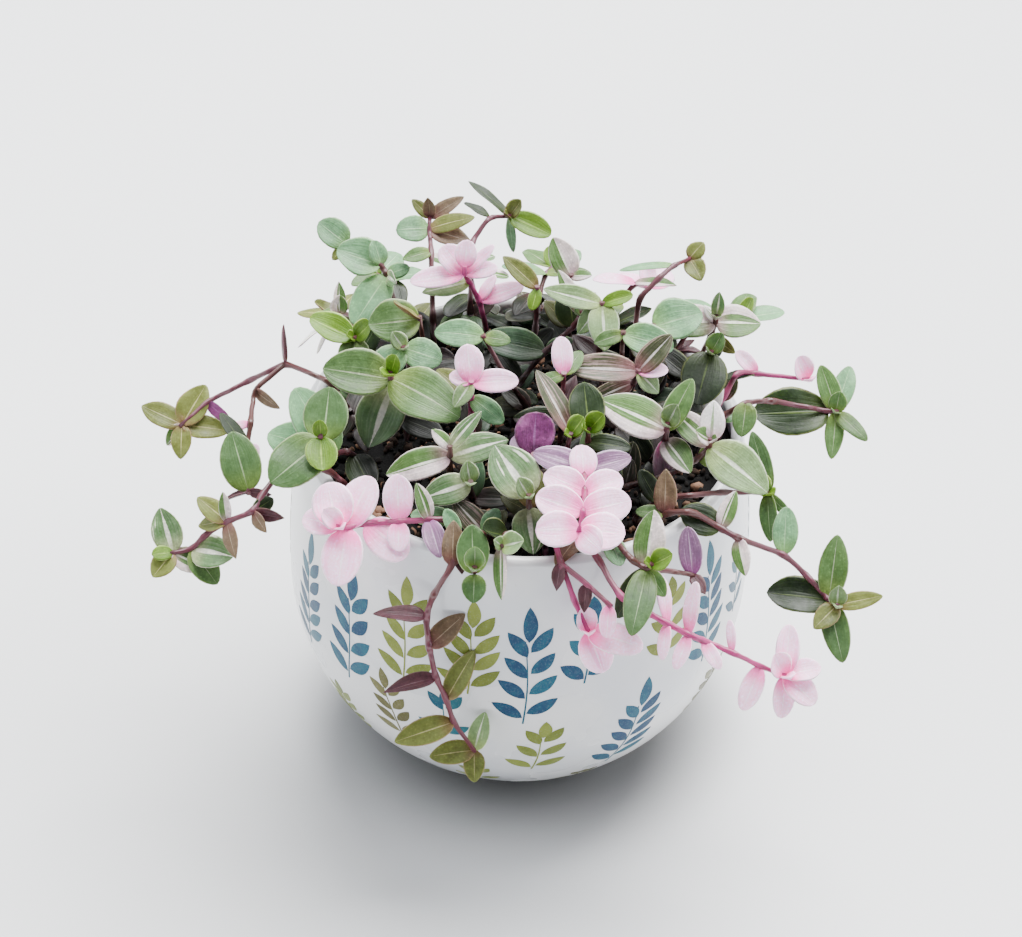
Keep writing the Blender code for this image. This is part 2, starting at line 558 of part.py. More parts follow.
def moved(leaf, scale, lift, turn, roll):
    """The leaf entry with a change of size, rise, heading and roll."""
    heading, length, width, colour = leaf[:4]
    rise = leaf[4] if len(leaf) > 4 else USUAL_RISE
    tilt = leaf[5] if len(leaf) > 5 else 0.0
    return (heading + turn, length * scale, width * scale, colour, rise + lift, tilt + roll)


def grown(leaf, growth=GROWTH):
    """The leaf entry at its full growth."""
    return (leaf[0], leaf[1] * growth, leaf[2] * growth, *leaf[3:])


class Neighbours:
    """The stems and blades placed so far, for finding whether a new blade clears them."""

    def __init__(self, walls):
        self.walls = walls
        self.items = []

    def add(self, vine, centre, reach, whole, outer):
        self.items.append((vine, centre, reach, whole, outer))

    def clears(self, vine, base, lean, leaf):
        verts, faces = blade(base, lean, leaf, CLEARANCE)
        floor = SOIL_CROWN + CLEARANCE
        if any(v.z < 1 or (v.z < floor and math.hypot(v.x, v.y) < RIM_RADIUS) for v in verts):
            return False
        tree = BVHTree.FromPolygons(verts, faces)
        if any(tree.overlap(wall) for wall in self.walls):
            return False
        outer = None
        for other, centre, reach, whole, tip in self.items:
            if (centre - base).length > reach + leaf[1] + 2:
                continue
            if other != vine:
                if tree.overlap(whole):
                    return False
            elif tip is not None:
                if outer is None:
                    outer = BVHTree.FromPolygons(*blade(base, lean, leaf, 0.1, True))
                if outer.overlap(tip):
                    return False
        return True


def vine_paths(runs):
    """Each run of joints as points, the first one starting in its hole in the soil."""
    paths = []
    for number, run in enumerate(runs):
        points = [Vector(joint[:3]) for joint in (run[1:] if number == 0 else run)]
        if number == 0:
            x, y = run[0]
            points = [Vector((x, y, ROOT_TIP)), Vector((x, y, STEM_UPRIGHT_TO))] + points
        paths.append(points)
    return paths


def shade_leaves(vines):
    """A low leaf for each upright stem: a place on it, and the leaf's entry."""
    draw = random.Random(SHADE_SEED)
    extra = []
    for name, (_, _, runs) in vines.items():
        low, high = Vector((*runs[0][0], STEM_UPRIGHT_TO)), Vector(runs[0][1][:3])
        length = draw.uniform(*SHADE_LENGTHS)
        share = min(1.0, draw.uniform(*SHADE_LIFT) / (high - low).length)
        entry = (draw.uniform(0, 360), length, length * SHADE_WIDTH,
                 draw.choice(SHADE_COLOURS), draw.uniform(5, 30))
        if name not in BARE_STEMS:
            extra.append((name, low.lerp(high, share), entry))
    return extra


def place_leaves(vines, walls):
    """Every leaf of every vine, moved where it must be to clear its neighbours."""
    neighbours = Neighbours(walls)
    for name, (_, _, runs) in vines.items():
        for points in vine_paths(runs):
            for a, b in zip(points, points[1:]):
                guide = stem_solid("guide", [a, b], STEM_RADIUS)
                neighbours.add(name, (a + b) / 2, (a - b).length / 2, surface_tree(guide), None)
                discard(guide)
    order = bending_order()
    placed = {name: [] for name in vines}
    wanted = [(name, Vector(joint[:3]), leaf) for name, (_, _, runs) in vines.items()
              for run in runs for joint in run for leaf in joint[3:]]
    wanted += shade_leaves(vines)
    for name, base, leaf in wanted:
        lean = vines[name][1]
        leaf = grown(leaf)
        for _, scale, lift, turn, roll in order:
            trial = moved(leaf, scale, lift, turn, roll)
            if neighbours.clears(name, base, lean, trial):
                break
        else:
            print("left out", name, leaf)
            continue
        placed[name].append((base, lean, trial))
        neighbours.add(name, base, trial[1], BVHTree.FromPolygons(*blade(base, lean, trial)),
                       BVHTree.FromPolygons(*blade(base, lean, trial, 0.0, True)))
    return placed


def apply_boolean(target, operand, operation, solver):
    """Apply one Boolean of a collection to an object, then remove the collection's objects."""
    modifier = target.modifiers.new(operation.title(), "BOOLEAN")
    modifier.operation = operation
    modifier.operand_type = "COLLECTION"
    modifier.collection = operand
    modifier.solver = solver
    result = evaluated_mesh(target)
    target.modifiers.clear()
    old = target.data
    target.data = result
    bpy.data.meshes.remove(old)
    result.name = target.name
    for piece in list(operand.objects):
        discard(piece)
    bpy.data.collections.remove(operand)


def new_collection(name):
    """A collection in the scene."""
    collection = bpy.data.collections.new(name)
    bpy.context.scene.collection.children.link(collection)
    return collection


def gather(name, objects):
    """Move objects from the part's collection into one of their own."""
    collection = new_collection(name)
    for obj in objects:
        bpy.data.collections[PART].objects.unlink(obj)
        collection.objects.link(obj)
    return collection


def keep_outer_shell(obj):
    """Drop the shells of pockets closed in between leaf bases, which fills them."""
    bm = bmesh.new()
    bm.from_mesh(obj.data)
    left = set(bm.verts)
    shells = []
    while left:
        shell = [left.pop()]
        for vert in shell:
            for edge in vert.link_edges:
                other = edge.other_vert(vert)
                if other in left:
                    left.remove(other)
                    shell.append(other)
        shells.append(shell)
    shells.sort(key=len)
    for shell in shells[:-1]:
        print("filled a pocket of", len(shell), "corners in", obj.name)
        bmesh.ops.delete(bm, geom=shell, context="VERTS")
    bm.to_mesh(obj.data)
    bm.free()


def tidy(obj):
    """Merge the slivers that a union leaves, and tell whether the mesh is sound after it."""
    bm = bmesh.new()
    bm.from_mesh(obj.data)
    bmesh.ops.dissolve_limit(bm, angle_limit=FLAT, verts=bm.verts, edges=bm.edges)
    bmesh.ops.triangulate(bm, faces=bm.faces)
    bmesh.ops.remove_doubles(bm, verts=bm.verts, dist=SLIVER * MM)
    bmesh.ops.dissolve_degenerate(bm, edges=bm.edges, dist=SLIVER * MM)
    bmesh.ops.triangulate(bm, faces=bm.faces)
    good = all(edge.is_manifold for edge in bm.edges)
    good = good and all(len(set(v.link_faces)) == len(v.link_edges) for v in bm.verts)
    good = good and min(edge.calc_length() for edge in bm.edges) > SLIVER * MM
    bm.to_mesh(obj.data)
    bm.free()
    return good


def build_vine(name, runs, leaves, material):
    """One vine: its stem and all its leaves, joined into one closed solid.

    Where the joined solid has a sliver, its leaves are rolled a little and joined again.
    """
    for attempt in range(12):
        nudge = 0.9 * attempt
        paths = [past_end(points, TIP_EXTRA) for points in vine_paths(runs)]
        stem = stem_solid(name, paths[0], STEM_RADIUS, material)
        branch_radius = BRANCH_RADIUS - 0.01 * attempt
        pieces = [stem_solid(name + "_branch", path, branch_radius, material)
                  for path in paths[1:]]
        for number, (base, lean, leaf) in enumerate(leaves):
            sunk = blade_axes(lean, *leaf[:1], *leaf[4:])[0] * (0.2 + 0.03 * number)
            rolled = moved(leaf, 1, 0, 0, nudge)
            pieces.append(blade_solid(name + "_leaf", base - sunk, lean, rolled, material))
        if pieces:
            apply_boolean(stem, gather(name + "_pieces", pieces), "UNION", "MANIFOLD")
            keep_outer_shell(stem)
        if tidy(stem):
            return
        discard(stem)
        print("joined again", name)
    raise RuntimeError(name + " keeps a sliver")


def cut_holes(soil, vines):
    """Cut the plain holes that the stems stand in."""
    cutters = []
    for name, (_, _, runs) in vines.items():
        x, y = runs[0][0]
        path = [Vector((x, y, z)) for z in (HOLE_FLOOR, RIM_HEIGHT, RIM_HEIGHT + 2)]
        cutters.append(stem_solid(name + "_hole", path, STEM_RADIUS + HOLE_GAP))
    apply_boolean(soil, gather("holes", cutters), "DIFFERENCE", "MANIFOLD")


def main():
    for obj in list(bpy.data.objects):
        bpy.data.objects.remove(obj)
    new_collection(PART)
    materials = {
        "glaze": make_material("pot_glaze", COLOURS["glaze"], 0.18),
        "soil": make_material("potting_soil", COLOURS["soil"], 0.95),
    }
    for tone in ("green", "variegated", "pink", "olive", "purple"):
        materials[tone] = make_material("leaf_" + tone, COLOURS[tone], 0.42)

    pot = turned("pot", pot_profile(), materials["glaze"])
    soil = turned("soil", soil_profile(), materials["soil"])
    placed = place_leaves(VINES, [surface_tree(pot)])
    cut_holes(soil, VINES)
    for name, (tone, _, runs) in VINES.items():
        build_vine(name, runs, placed[name], materials[tone])
    print("vines", len(VINES), "leaves", sum(len(leaves) for leaves in placed.values()))


main()
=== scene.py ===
# %% [markdown]
# # A turtle vine in a round glazed pot
# A turtle vine is a small creeping plant. Its thin stems run over the soil and hang over the
# rim, and at every joint they carry a pair of fleshy leaves, some green, some striped with cream
# and some wholly pink. This lesson gives a plain solid model of one its finished surfaces.
# The solid model comes in first, as a fixed frame: it says where every stem and leaf is and how
# big the pot is. Nothing in it is moved.

# %% The fixed frame
import math
import random

import bmesh
import bpy
from mathutils import Matrix, Vector, noise
from mathutils.bvhtree import BVHTree


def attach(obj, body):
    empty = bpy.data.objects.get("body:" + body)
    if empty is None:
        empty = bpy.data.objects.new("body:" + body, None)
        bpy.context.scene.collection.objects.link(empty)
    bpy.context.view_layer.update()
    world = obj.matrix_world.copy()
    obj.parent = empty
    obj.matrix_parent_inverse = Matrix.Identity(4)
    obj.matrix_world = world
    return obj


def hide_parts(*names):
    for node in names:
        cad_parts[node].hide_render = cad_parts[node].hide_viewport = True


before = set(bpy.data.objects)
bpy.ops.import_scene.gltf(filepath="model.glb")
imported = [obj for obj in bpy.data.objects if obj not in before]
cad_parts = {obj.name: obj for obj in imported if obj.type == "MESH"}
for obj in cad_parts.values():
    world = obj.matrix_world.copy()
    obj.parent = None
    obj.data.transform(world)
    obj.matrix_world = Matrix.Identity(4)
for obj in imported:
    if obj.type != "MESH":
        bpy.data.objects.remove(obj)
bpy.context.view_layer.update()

MM = 0.001
NOISE_SEED = 5
noise.seed_set(NOISE_SEED)  # otherwise Blender's noise vectors differ from run to run
print("frame:", len(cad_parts), "solid nodes")

# %% [markdown]
# ## The camera
# The photograph looks down on the pot from about 38 degrees. The camera is set up from what was
# measured on the photograph: how far it stands from the pot's middle, how steeply it looks down,
# how much it leans to one side, and its focal length in pixels. Three unit vectors, to the right,
# up and backwards, make the columns of its matrix, which is surer than turning it by angles.

# %% Camera
IMAGE_WIDTH = 1022
SENSOR_WIDTH = 36.0
FOCAL_PIXELS = 2005.0
CAMERA_DISTANCE = 0.6
ELEVATION = math.radians(38.2)
CAMERA_ROLL = math.radians(1.77)
AIM = Vector((-0.0031, 0.0, 0.0929))

view_line = Vector((0.0, math.cos(ELEVATION), -math.sin(ELEVATION)))
level = Vector((1.0, 0.0, 0.0))
upright = level.cross(view_line)
right = level * math.cos(CAMERA_ROLL) + upright * math.sin(CAMERA_ROLL)
up = upright * math.cos(CAMERA_ROLL) - level * math.sin(CAMERA_ROLL)
camera = bpy.data.objects.new("camera", bpy.data.cameras.new("camera"))
camera.matrix_world = Matrix((right, up, -view_line)).transposed().to_4x4()
camera.location = AIM - view_line * CAMERA_DISTANCE
camera.data.sensor_width = SENSOR_WIDTH
camera.data.lens = FOCAL_PIXELS / IMAGE_WIDTH * SENSOR_WIDTH
bpy.context.scene.collection.objects.link(camera)
bpy.context.scene.camera = camera
print("camera at", [round(c, 3) for c in camera.location])

# %% [markdown]
# ## Building with nodes
# Every finish below is a tree of shader nodes. Short helpers keep the trees readable: one adds a
# node and fills or links its inputs, and the others do one thing each with it, such as a sum, a
# mix of two colours by a mask, or a soft step. Colours are written as they look on a screen, from
# 0 to 255, and turned into the linear values that shaders work in.

# %% Helpers for shader nodes
def paint(red, green, blue):
    """A colour given as on a screen, in the linear values that a shader needs."""
    shares = (c / 255 for c in (red, green, blue))
    return (*(c / 12.92 if c <= 0.04045 else ((c + 0.055) / 1.055) ** 2.4 for c in shares), 1.0)


def add_node(tree, kind, inputs=None, **settings):
    """A node with these settings, its inputs set to values or linked to other sockets."""
    node = tree.nodes.new(kind)
    for key, value in settings.items():
        setattr(node, key, value)
    for key, value in (inputs or {}).items():
        if isinstance(value, bpy.types.NodeSocket):
            tree.links.new(value, node.inputs[key])
        else:
            node.inputs[key].default_value = value
    return node


def work_out(tree, operation, *values):
    """The result of one sum."""
    return add_node(tree, "ShaderNodeMath", dict(enumerate(values)), operation=operation).outputs[0]


def times(tree, a, b):
    return work_out(tree, "MULTIPLY", a, b)


def plus(tree, a, b):
    return work_out(tree, "ADD", a, b)


def minus(tree, a, b):
    return work_out(tree, "SUBTRACT", a, b)


def times_plus(tree, a, b, c):
    """One value times another, and a third added."""
    return work_out(tree, "MULTIPLY_ADD", a, b, c)


def mix(tree, mask, first, second, blend="MIX"):
    """The first colour where the mask is 0, and the second where it is 1."""
    inputs = {0: mask, 6: first, 7: second}
    node = add_node(tree, "ShaderNodeMix", inputs, data_type="RGBA", blend_type=blend)
    return node.outputs[2]


def ramp(tree, value, low, high, out_low=0.0, out_high=1.0):
    """A soft step: out_low up to low, out_high from high on."""
    inputs = {0: value, 1: low, 2: high, 3: out_low, 4: out_high}
    return add_node(tree, "ShaderNodeMapRange", inputs, interpolation_type="SMOOTHSTEP").outputs[0]


def noise_value(tree, vector, scale, detail=2.0, roughness=0.5):
    """Smooth noise, mostly between 0.3 and 0.7."""
    inputs = {"Vector": vector, "Scale": scale, "Detail": detail, "Roughness": roughness}
    return add_node(tree, "ShaderNodeTexNoise", inputs).outputs["Fac"]


def skin_place(tree):
    """A place on the piece's own surface, in metres from the middle of the pot's base."""
    return add_node(tree, "ShaderNodeTexCoord").outputs["Object"]


def carried(tree, name):
    """A value that each corner of the mesh carries."""
    return add_node(tree, "ShaderNodeAttribute", attribute_name=name).outputs["Fac"]


def split(tree, vector):
    """The three parts of a vector."""
    return add_node(tree, "ShaderNodeSeparateXYZ", {0: vector}).outputs


def join(tree, x, y, z=0.0):
    """A vector made of three parts."""
    return add_node(tree, "ShaderNodeCombineXYZ", {0: x, 1: y, 2: z}).outputs[0]


def darken(tree, colour, share):
    """A colour of which only a share is left."""
    grey = add_node(tree, "ShaderNodeCombineColor", {0: share, 1: share, 2: share}).outputs[0]
    return mix(tree, 1.0, colour, grey, "MULTIPLY")


def new_group(name, inputs, outputs):
    """A shader node group with its sockets, and its inputs and outputs ready to link."""
    tree = bpy.data.node_groups.new(name, "ShaderNodeTree")
    for label, default in inputs.items():
        kind = "NodeSocketFloat" if isinstance(default, float) else "NodeSocketColor"
        tree.interface.new_socket(label, in_out="INPUT", socket_type=kind).default_value = default
    for label, kind in outputs.items():
        tree.interface.new_socket(label, in_out="OUTPUT", socket_type="NodeSocket" + kind)
    return tree, tree.nodes.new("NodeGroupInput").outputs, tree.nodes.new("NodeGroupOutput").inputs


def new_material(name, constants):
    """A material, its tree and its Principled shader with these constants on its own sockets."""
    material = bpy.data.materials.new(name)
    material.use_nodes = True
    shader = material.node_tree.nodes["Principled BSDF"]
    for key, value in constants.items():
        shader.inputs[key].default_value = value
    return material, material.node_tree, shader


def dress(tree, shader, colour, roughness=None, height=None, strength=0.3, depth=0.0003):
    """Give a shader its colour and, where they vary, its roughness and its fine relief."""
    tree.links.new(colour, shader.inputs["Base Color"])
    if roughness is not None:
        tree.links.new(roughness, shader.inputs["Roughness"])
    if height is not None:
        relief = {"Strength": strength, "Distance": depth, "Height": height}
        bump = add_node(tree, "ShaderNodeBump", relief)
        tree.links.new(bump.outputs[0], shader.inputs["Normal"])


print("helpers ready")

# %% [markdown]
# ## Painted shade deep in the plant
# Under the canopy the leaves and stems get little light, and their colour is darkened there as a
# painted shade. A small node group tells how deep a place lies, from its height under the canopy,
# which rises towards the back, and its distance from the pot's middle, so that nothing outside the
# pot counts as deep.

# %% The painted deep shade group
DEEP_FROM, DEEP_AT = 0.126, 0.111
CANOPY_SLOPE = 0.15
CANOPY_FROM = -0.05
BOWL_INSIDE, BOWL_SIDE = 0.050, 0.058
painted_shade_group, _, result = new_group("Deep shade", {}, {"Shade": "Float"})
to_right, to_back, height_up = split(painted_shade_group, skin_place(painted_shade_group))
out = add_node(painted_shade_group, "ShaderNodeVectorMath", {0: join(painted_shade_group, to_right, to_back)},
               operation="LENGTH")
inside = ramp(painted_shade_group, out.outputs["Value"], BOWL_SIDE, BOWL_INSIDE)
back = work_out(painted_shade_group, "MAXIMUM", minus(painted_shade_group, to_back, CANOPY_FROM), 0.0)
level = times_plus(painted_shade_group, back, -CANOPY_SLOPE, height_up)
deep = times(painted_shade_group, ramp(painted_shade_group, level, DEEP_FROM, DEEP_AT), inside)
painted_shade_group.links.new(deep, result["Shade"])
print("deep from", DEEP_FROM, "m down to", DEEP_AT, "m")

# %% [markdown]
# ## Leaf skin
# The veins of a turtle vine leaf run from its base to its tip without branching, and the cream
# and pink bands follow them. Each leaf below carries a map that goes from 0 to 1 across it and
# from 0 at its base to 1 at its tip, squeezed with its outline, so anything painted at one place
# across the map becomes a line that runs from base to tip as a vein does.
# One node group paints every kind of leaf from that map, a random tone that each leaf carries,
# and which way its skin faces. The kinds differ only in their colours and amounts.

# %% The leaf skin group
SKIN_COLOURS = ("Blade", "Rib", "Streak", "Other Half", "Base", "Margin", "Underside")
SKIN_AMOUNTS = {"Rib Width": 0.06, "Streaks": 0.3, "Fineness": 2.2, "Half": 0.0,
                "Base Reach": 0.2, "Margin Width": 0.07, "Mottle": 0.9, "Light": 0.93}
VEINS_ACROSS = 22.0
MOTTLE_SCALE = 420.0
SPECK_SCALE = 1500.0
CRISP = (-0.03, 0.03)
VEIN_SHARE = 0.09
BASE_SHARE = 0.85
EDGE_SHARE = 0.8

skin, given, result = new_group(
    "Leaf skin",
    {**{label: (0.5, 0.5, 0.5, 1.0) for label in SKIN_COLOURS}, **SKIN_AMOUNTS},
    {"Color": "Color", "Roughness": "Float", "Height": "Float"})
leaf_map = add_node(skin, "ShaderNodeUVMap", uv_map="leaf").outputs["UV"]
across, along, _ = split(skin, leaf_map)
tone = carried(skin, "tone")
surface = skin_place(skin)

sideways = times_plus(skin, across, 2.0, -1.0)
from_rib = work_out(skin, "ABSOLUTE", sideways)
shift = times(skin, tone, 37.0)
streak_x = times_plus(skin, across, 0.6, from_rib)
streak_x = times(skin, streak_x, given["Fineness"])
streak_place = join(skin, streak_x, times(skin, along, 0.5), shift)
streaks = noise_value(skin, streak_place, 1.9, 3.0, 0.55)
streak_from = minus(skin, 0.92, times(skin, given["Streaks"], 0.8))
streak_mask = ramp(skin, minus(skin, streaks, streak_from), *CRISP)
streak_mask = times(skin, streak_mask, ramp(skin, along, 0.02, 0.2))

rib_edge = times(skin, given["Rib Width"], ramp(skin, along, 1.0, 0.4, 0.35, 1.0))
rib_soft = work_out(skin, "DIVIDE", from_rib, plus(skin, rib_edge, 0.001))
rib_mask = ramp(skin, rib_soft, 1.25, 0.75)

turned_over = work_out(skin, "GREATER_THAN", tone, 0.5)
side = times(skin, sideways, times_plus(skin, turned_over, 2.0, -1.0))
half_from = work_out(skin, "FRACT", times(skin, tone, 7.3))
half_from = ramp(skin, half_from, 0.35, 0.75, 0.0, 0.42)
half_edge = times_plus(skin, streaks, 0.3, minus(skin, -0.15, half_from))
half_mask = ramp(skin, plus(skin, side, half_edge), *CRISP)
half_mask = times(skin, half_mask, given["Half"])

vein_place = join(skin, times(skin, across, VEINS_ACROSS), along, shift)
veins = ramp(skin, noise_value(skin, vein_place, 1.0, 1.0, 0.5), 0.4, 0.65)
mottle = noise_value(skin, surface, MOTTLE_SCALE, 3.0, 0.6)
speck = noise_value(skin, surface, SPECK_SCALE, 1.0, 0.5)

colour = mix(skin, streak_mask, given["Blade"], given["Streak"])
colour = mix(skin, half_mask, colour, given["Other Half"])
colour = mix(skin, rib_mask, colour, given["Rib"])
colour = mix(skin, times(skin, veins, VEIN_SHARE), colour, given["Streak"])
base_mask = ramp(skin, minus(skin, given["Base Reach"], along), -0.3, 0.2)
colour = mix(skin, times(skin, base_mask, BASE_SHARE), colour, given["Base"])
# the pale margin is partly the leaf's own paler edge and partly a painted highlight of light shining
# through that thin edge
margin_from = minus(skin, 1.0, given["Margin Width"])
margin_mask = ramp(skin, minus(skin, from_rib, margin_from), -0.02, 0.02)
colour = mix(skin, times(skin, margin_mask, EDGE_SHARE), colour, given["Margin"])
under_mask = ramp(skin, carried(skin, "facing"), 0.1, -0.15)
colour = mix(skin, times(skin, under_mask, EDGE_SHARE), colour, given["Underside"])

light = times_plus(skin, minus(skin, mottle, 0.5), given["Mottle"], given["Light"])
tone_light = times(skin, minus(skin, tone, 0.5), given["Mottle"])
light = times_plus(skin, tone_light, 0.46, light)
light = plus(skin, light, times_plus(skin, speck, 0.5, -0.25))
light = plus(skin, light, ramp(skin, speck, 0.66, 0.72, 0.0, 0.25))
# painted shade: deep under the canopy a leaf's colour is darkened by up to nine tenths
deep = add_node(skin, "ShaderNodeGroup", node_tree=painted_shade_group).outputs[0]
light = times(skin, light, times_plus(skin, deep, -0.9, 1.0))
skin.links.new(darken(skin, colour, light), result["Color"])
skin.links.new(ramp(skin, mottle, 0.3, 0.7, 0.3, 0.5), result["Roughness"])
height = times_plus(skin, veins, 0.35, times(skin, speck, 0.35))
height = minus(skin, height, times(skin, rib_mask, 0.5))
skin.links.new(height, result["Height"])
print("leaf skin:", len(skin.nodes), "nodes")

# %% [markdown]
# ## The kinds of leaf
# The plant shows many kinds of leaf at once. Old leaves in the light are mid green or blue green
# with a thin pale rib. Others are banded with cream, or pink on one side of the rib only. The
# youngest shoots are yellow green, or wholly pink with a deeper pink base, and leaves at the
# stem ends are olive with a purple underside. A little light passes through all of them, which
# the shader's subsurface weight stands for. Each row gives a kind's colours in the order of
# PAINTED, and the amounts that differ from the usual ones.

# %% Leaf materials
PAINTED = ("Blade", "Rib", "Streak", "Base", "Margin", "Underside")
PLAIN_SKIN = {"Rib Width": 0.035, "Streaks": 0.1, "Fineness": 1.6, "Margin Width": 0.045}
FINE_BANDS = {"Streaks": 0.42, "Fineness": 4.5}
LEAF_KINDS = {
    "mid": (((68, 96, 55), (136, 156, 116), (88, 116, 74),
            (98, 122, 56), (150, 168, 124), (100, 116, 86)), {**PLAIN_SKIN}),
    "green": (((84, 115, 64), (156, 168, 132), (108, 138, 88),
              (116, 136, 62), (166, 176, 140), (118, 130, 98)), {**PLAIN_SKIN}),
    "blue": (((107, 152, 108), (157, 191, 146), (133, 174, 130),
             (119, 158, 90), (174, 201, 158), (130, 159, 122)), {**PLAIN_SKIN, "Streaks": 0.12}),
    "dark": (((35, 48, 27), (84, 100, 52), (46, 66, 30),
             (54, 68, 26), (98, 104, 66), (56, 66, 42)), {"Rib Width": 0.04, "Streaks": 0.1}),
    "stripe": (((90, 124, 76), (236, 236, 222), (224, 228, 206),
               (183, 190, 142), (217, 220, 190), (158, 144, 138)),
              {"Rib Width": 0.14, "Streaks": 0.34, "Fineness": 1.5, "Margin Width": 0.05}),
    "half": (((80, 114, 56), (230, 232, 214), (176, 184, 140),
             (184, 138, 150), (222, 212, 204), (186, 152, 160)),
            {"Other Half": paint(223, 206, 206), "Rib Width": 0.08, "Streaks": 0.24, "Half": 1.0,
             "Base Reach": 0.1, "Fineness": 1.7, "Margin Width": 0.05}),
    "pink": (((255, 206, 234), (255, 230, 245), (255, 186, 224),
             (250, 92, 172), (255, 236, 248), (255, 188, 226)),
            {**FINE_BANDS, "Base Reach": 0.3, "Mottle": 0.2, "Light": 1.09}),
    "lilac": (((124, 89, 121), (180, 154, 178), (164, 132, 162),
              (140, 76, 128), (210, 190, 214), (148, 108, 148)), {**FINE_BANDS, "Mottle": 0.5}),
    "purple": (((73, 43, 49), (104, 76, 82), (100, 69, 76),
               (82, 41, 52), (102, 72, 76), (90, 50, 62)), {"Mottle": 1.2}),
    "violet": (((121, 56, 106), (143, 86, 136), (145, 88, 140),
               (88, 38, 74), (116, 66, 108), (102, 50, 92)), {"Mottle": 1.6}),
    "olive": (((106, 113, 56), (174, 169, 116), (130, 135, 76),
              (136, 88, 66), (150, 120, 90), (128, 92, 76)),
             {"Rib Width": 0.045, "Streaks": 0.16, "Base Reach": 0.05}),
    "brown": (((112, 92, 72), (164, 144, 120), (132, 114, 88),
              (108, 62, 62), (138, 98, 90), (122, 76, 78)), {"Rib Width": 0.045, "Streaks": 0.16}),
    "young": (((98, 132, 38), (152, 182, 78), (130, 163, 54),
              (86, 124, 30), (163, 187, 101), (121, 153, 48)), {"Mottle": 0.4}),
    "pale": (((117, 143, 95), (205, 212, 191), (151, 169, 125),
             (139, 157, 88), (188, 198, 172), (143, 159, 123)), {"Rib Width": 0.09}),
    "grey": (((66, 72, 48), (203, 196, 190), (148, 126, 119),
             (132, 83, 88), (154, 129, 122), (134, 96, 99)), {**FINE_BANDS, "Rib Width": 0.09}),
    "white": (((246, 240, 236), (156, 180, 138), (160, 186, 142),
              (228, 179, 200), (232, 204, 215), (225, 196, 205)), {"Rib Width": 0.12, "Mottle": 0.2}),
}
LEAF_FLESH = {"Subsurface Weight": 0.12, "Subsurface Scale": 0.0015,
              "Subsurface Radius": (0.9, 1.0, 0.4), "Specular IOR Level": 0.24}
LEAF_RELIEF = 0.35


def leaf_material(kind, colours, amounts):
    """The material of one kind of leaf."""
    material, tree, shader = new_material("leaf " + kind, LEAF_FLESH)
    painted = {label: paint(*colour) for label, colour in zip(PAINTED, colours)}
    outputs = add_node(tree, "ShaderNodeGroup", {**painted, **amounts}, node_tree=skin).outputs
    dress(tree, shader, outputs["Color"], outputs["Roughness"], outputs["Height"], LEAF_RELIEF)
    return material


leaf_materials = {kind: leaf_material(kind, *values) for kind, values in LEAF_KINDS.items()}
print("kinds of leaf:", ", ".join(leaf_materials))

# %% [markdown]
# ## Stem skin
# The stems are smooth and juicy, purple brown on the old vines and magenta on the pink ones, and
# greener or redder by turns along their length. They carry the same kind of map as the leaves,
# round the stem and along it, so faint lengthwise lines can follow every bend.

# %% Stem materials
def stem_material(name, dull, bright, shade):
    """A stem's material, between two tones along its length and darker in streaks."""
    material, tree, shader = new_material(name, {"Subsurface Weight": 0.08,
                                                 "Subsurface Scale": 0.001})
    stem_map = add_node(tree, "ShaderNodeUVMap", uv_map="leaf").outputs["UV"]
    stretched = add_node(tree, "ShaderNodeMapping", {"Vector": stem_map, "Scale": (3.2, 0.3, 1)})
    patches = noise_value(tree, skin_place(tree), 130.0, 2.0, 0.6)
    lines = noise_value(tree, stretched.outputs[0], 1.0, 2.0, 0.6)
    station = split(tree, stem_map)[1]
    brightness = times(tree, carried(tree, "tone"), 0.5)
    brightness = plus(tree, brightness, patches)
    brightness = plus(tree, brightness, ramp(tree, station, 14.0, 34.0, 0.0, 0.5))
    colour = mix(tree, ramp(tree, brightness, 0.6, 1.25), dull, bright)
    colour = mix(tree, ramp(tree, lines, 0.48, 0.7, 0.0, 0.55), colour, shade)
    # painted shade: deep under the canopy a stem's colour is darkened towards near black
    deep = add_node(tree, "ShaderNodeGroup", node_tree=painted_shade_group).outputs[0]
    colour = mix(tree, times(tree, deep, 0.75), colour, paint(14, 7, 8))
    dress(tree, shader, colour, ramp(tree, patches, 0.3, 0.7, 0.32, 0.5), lines)
    return material


stem_materials = {
    "brown": stem_material("stem brown", paint(84, 50, 44), paint(100, 48, 62), paint(52, 28, 30)),
    "magenta": stem_material("stem magenta", paint(98, 44, 54), paint(176, 58, 118),
                             paint(66, 28, 40)),
}
print("stems:", ", ".join(stem_materials))

# %% [markdown]
# ## Where every leaf is
# The solid model was grown from a table. A vine is one or more runs of joints, and a joint is a
# place in millimetres and the leaves that grow there. A leaf is its heading seen from above and
# in front (0 to the right, 90 to the back, 180 to the left, 270 to the front), its length, its
# width and its colour, and then, where they are unusual, how far it rises and how far it rolls
# in degrees. A vine's first joint is the hole in the soil where it stands.
# The same table and rules are used here, so each fine leaf lies where its plain leaf lies.


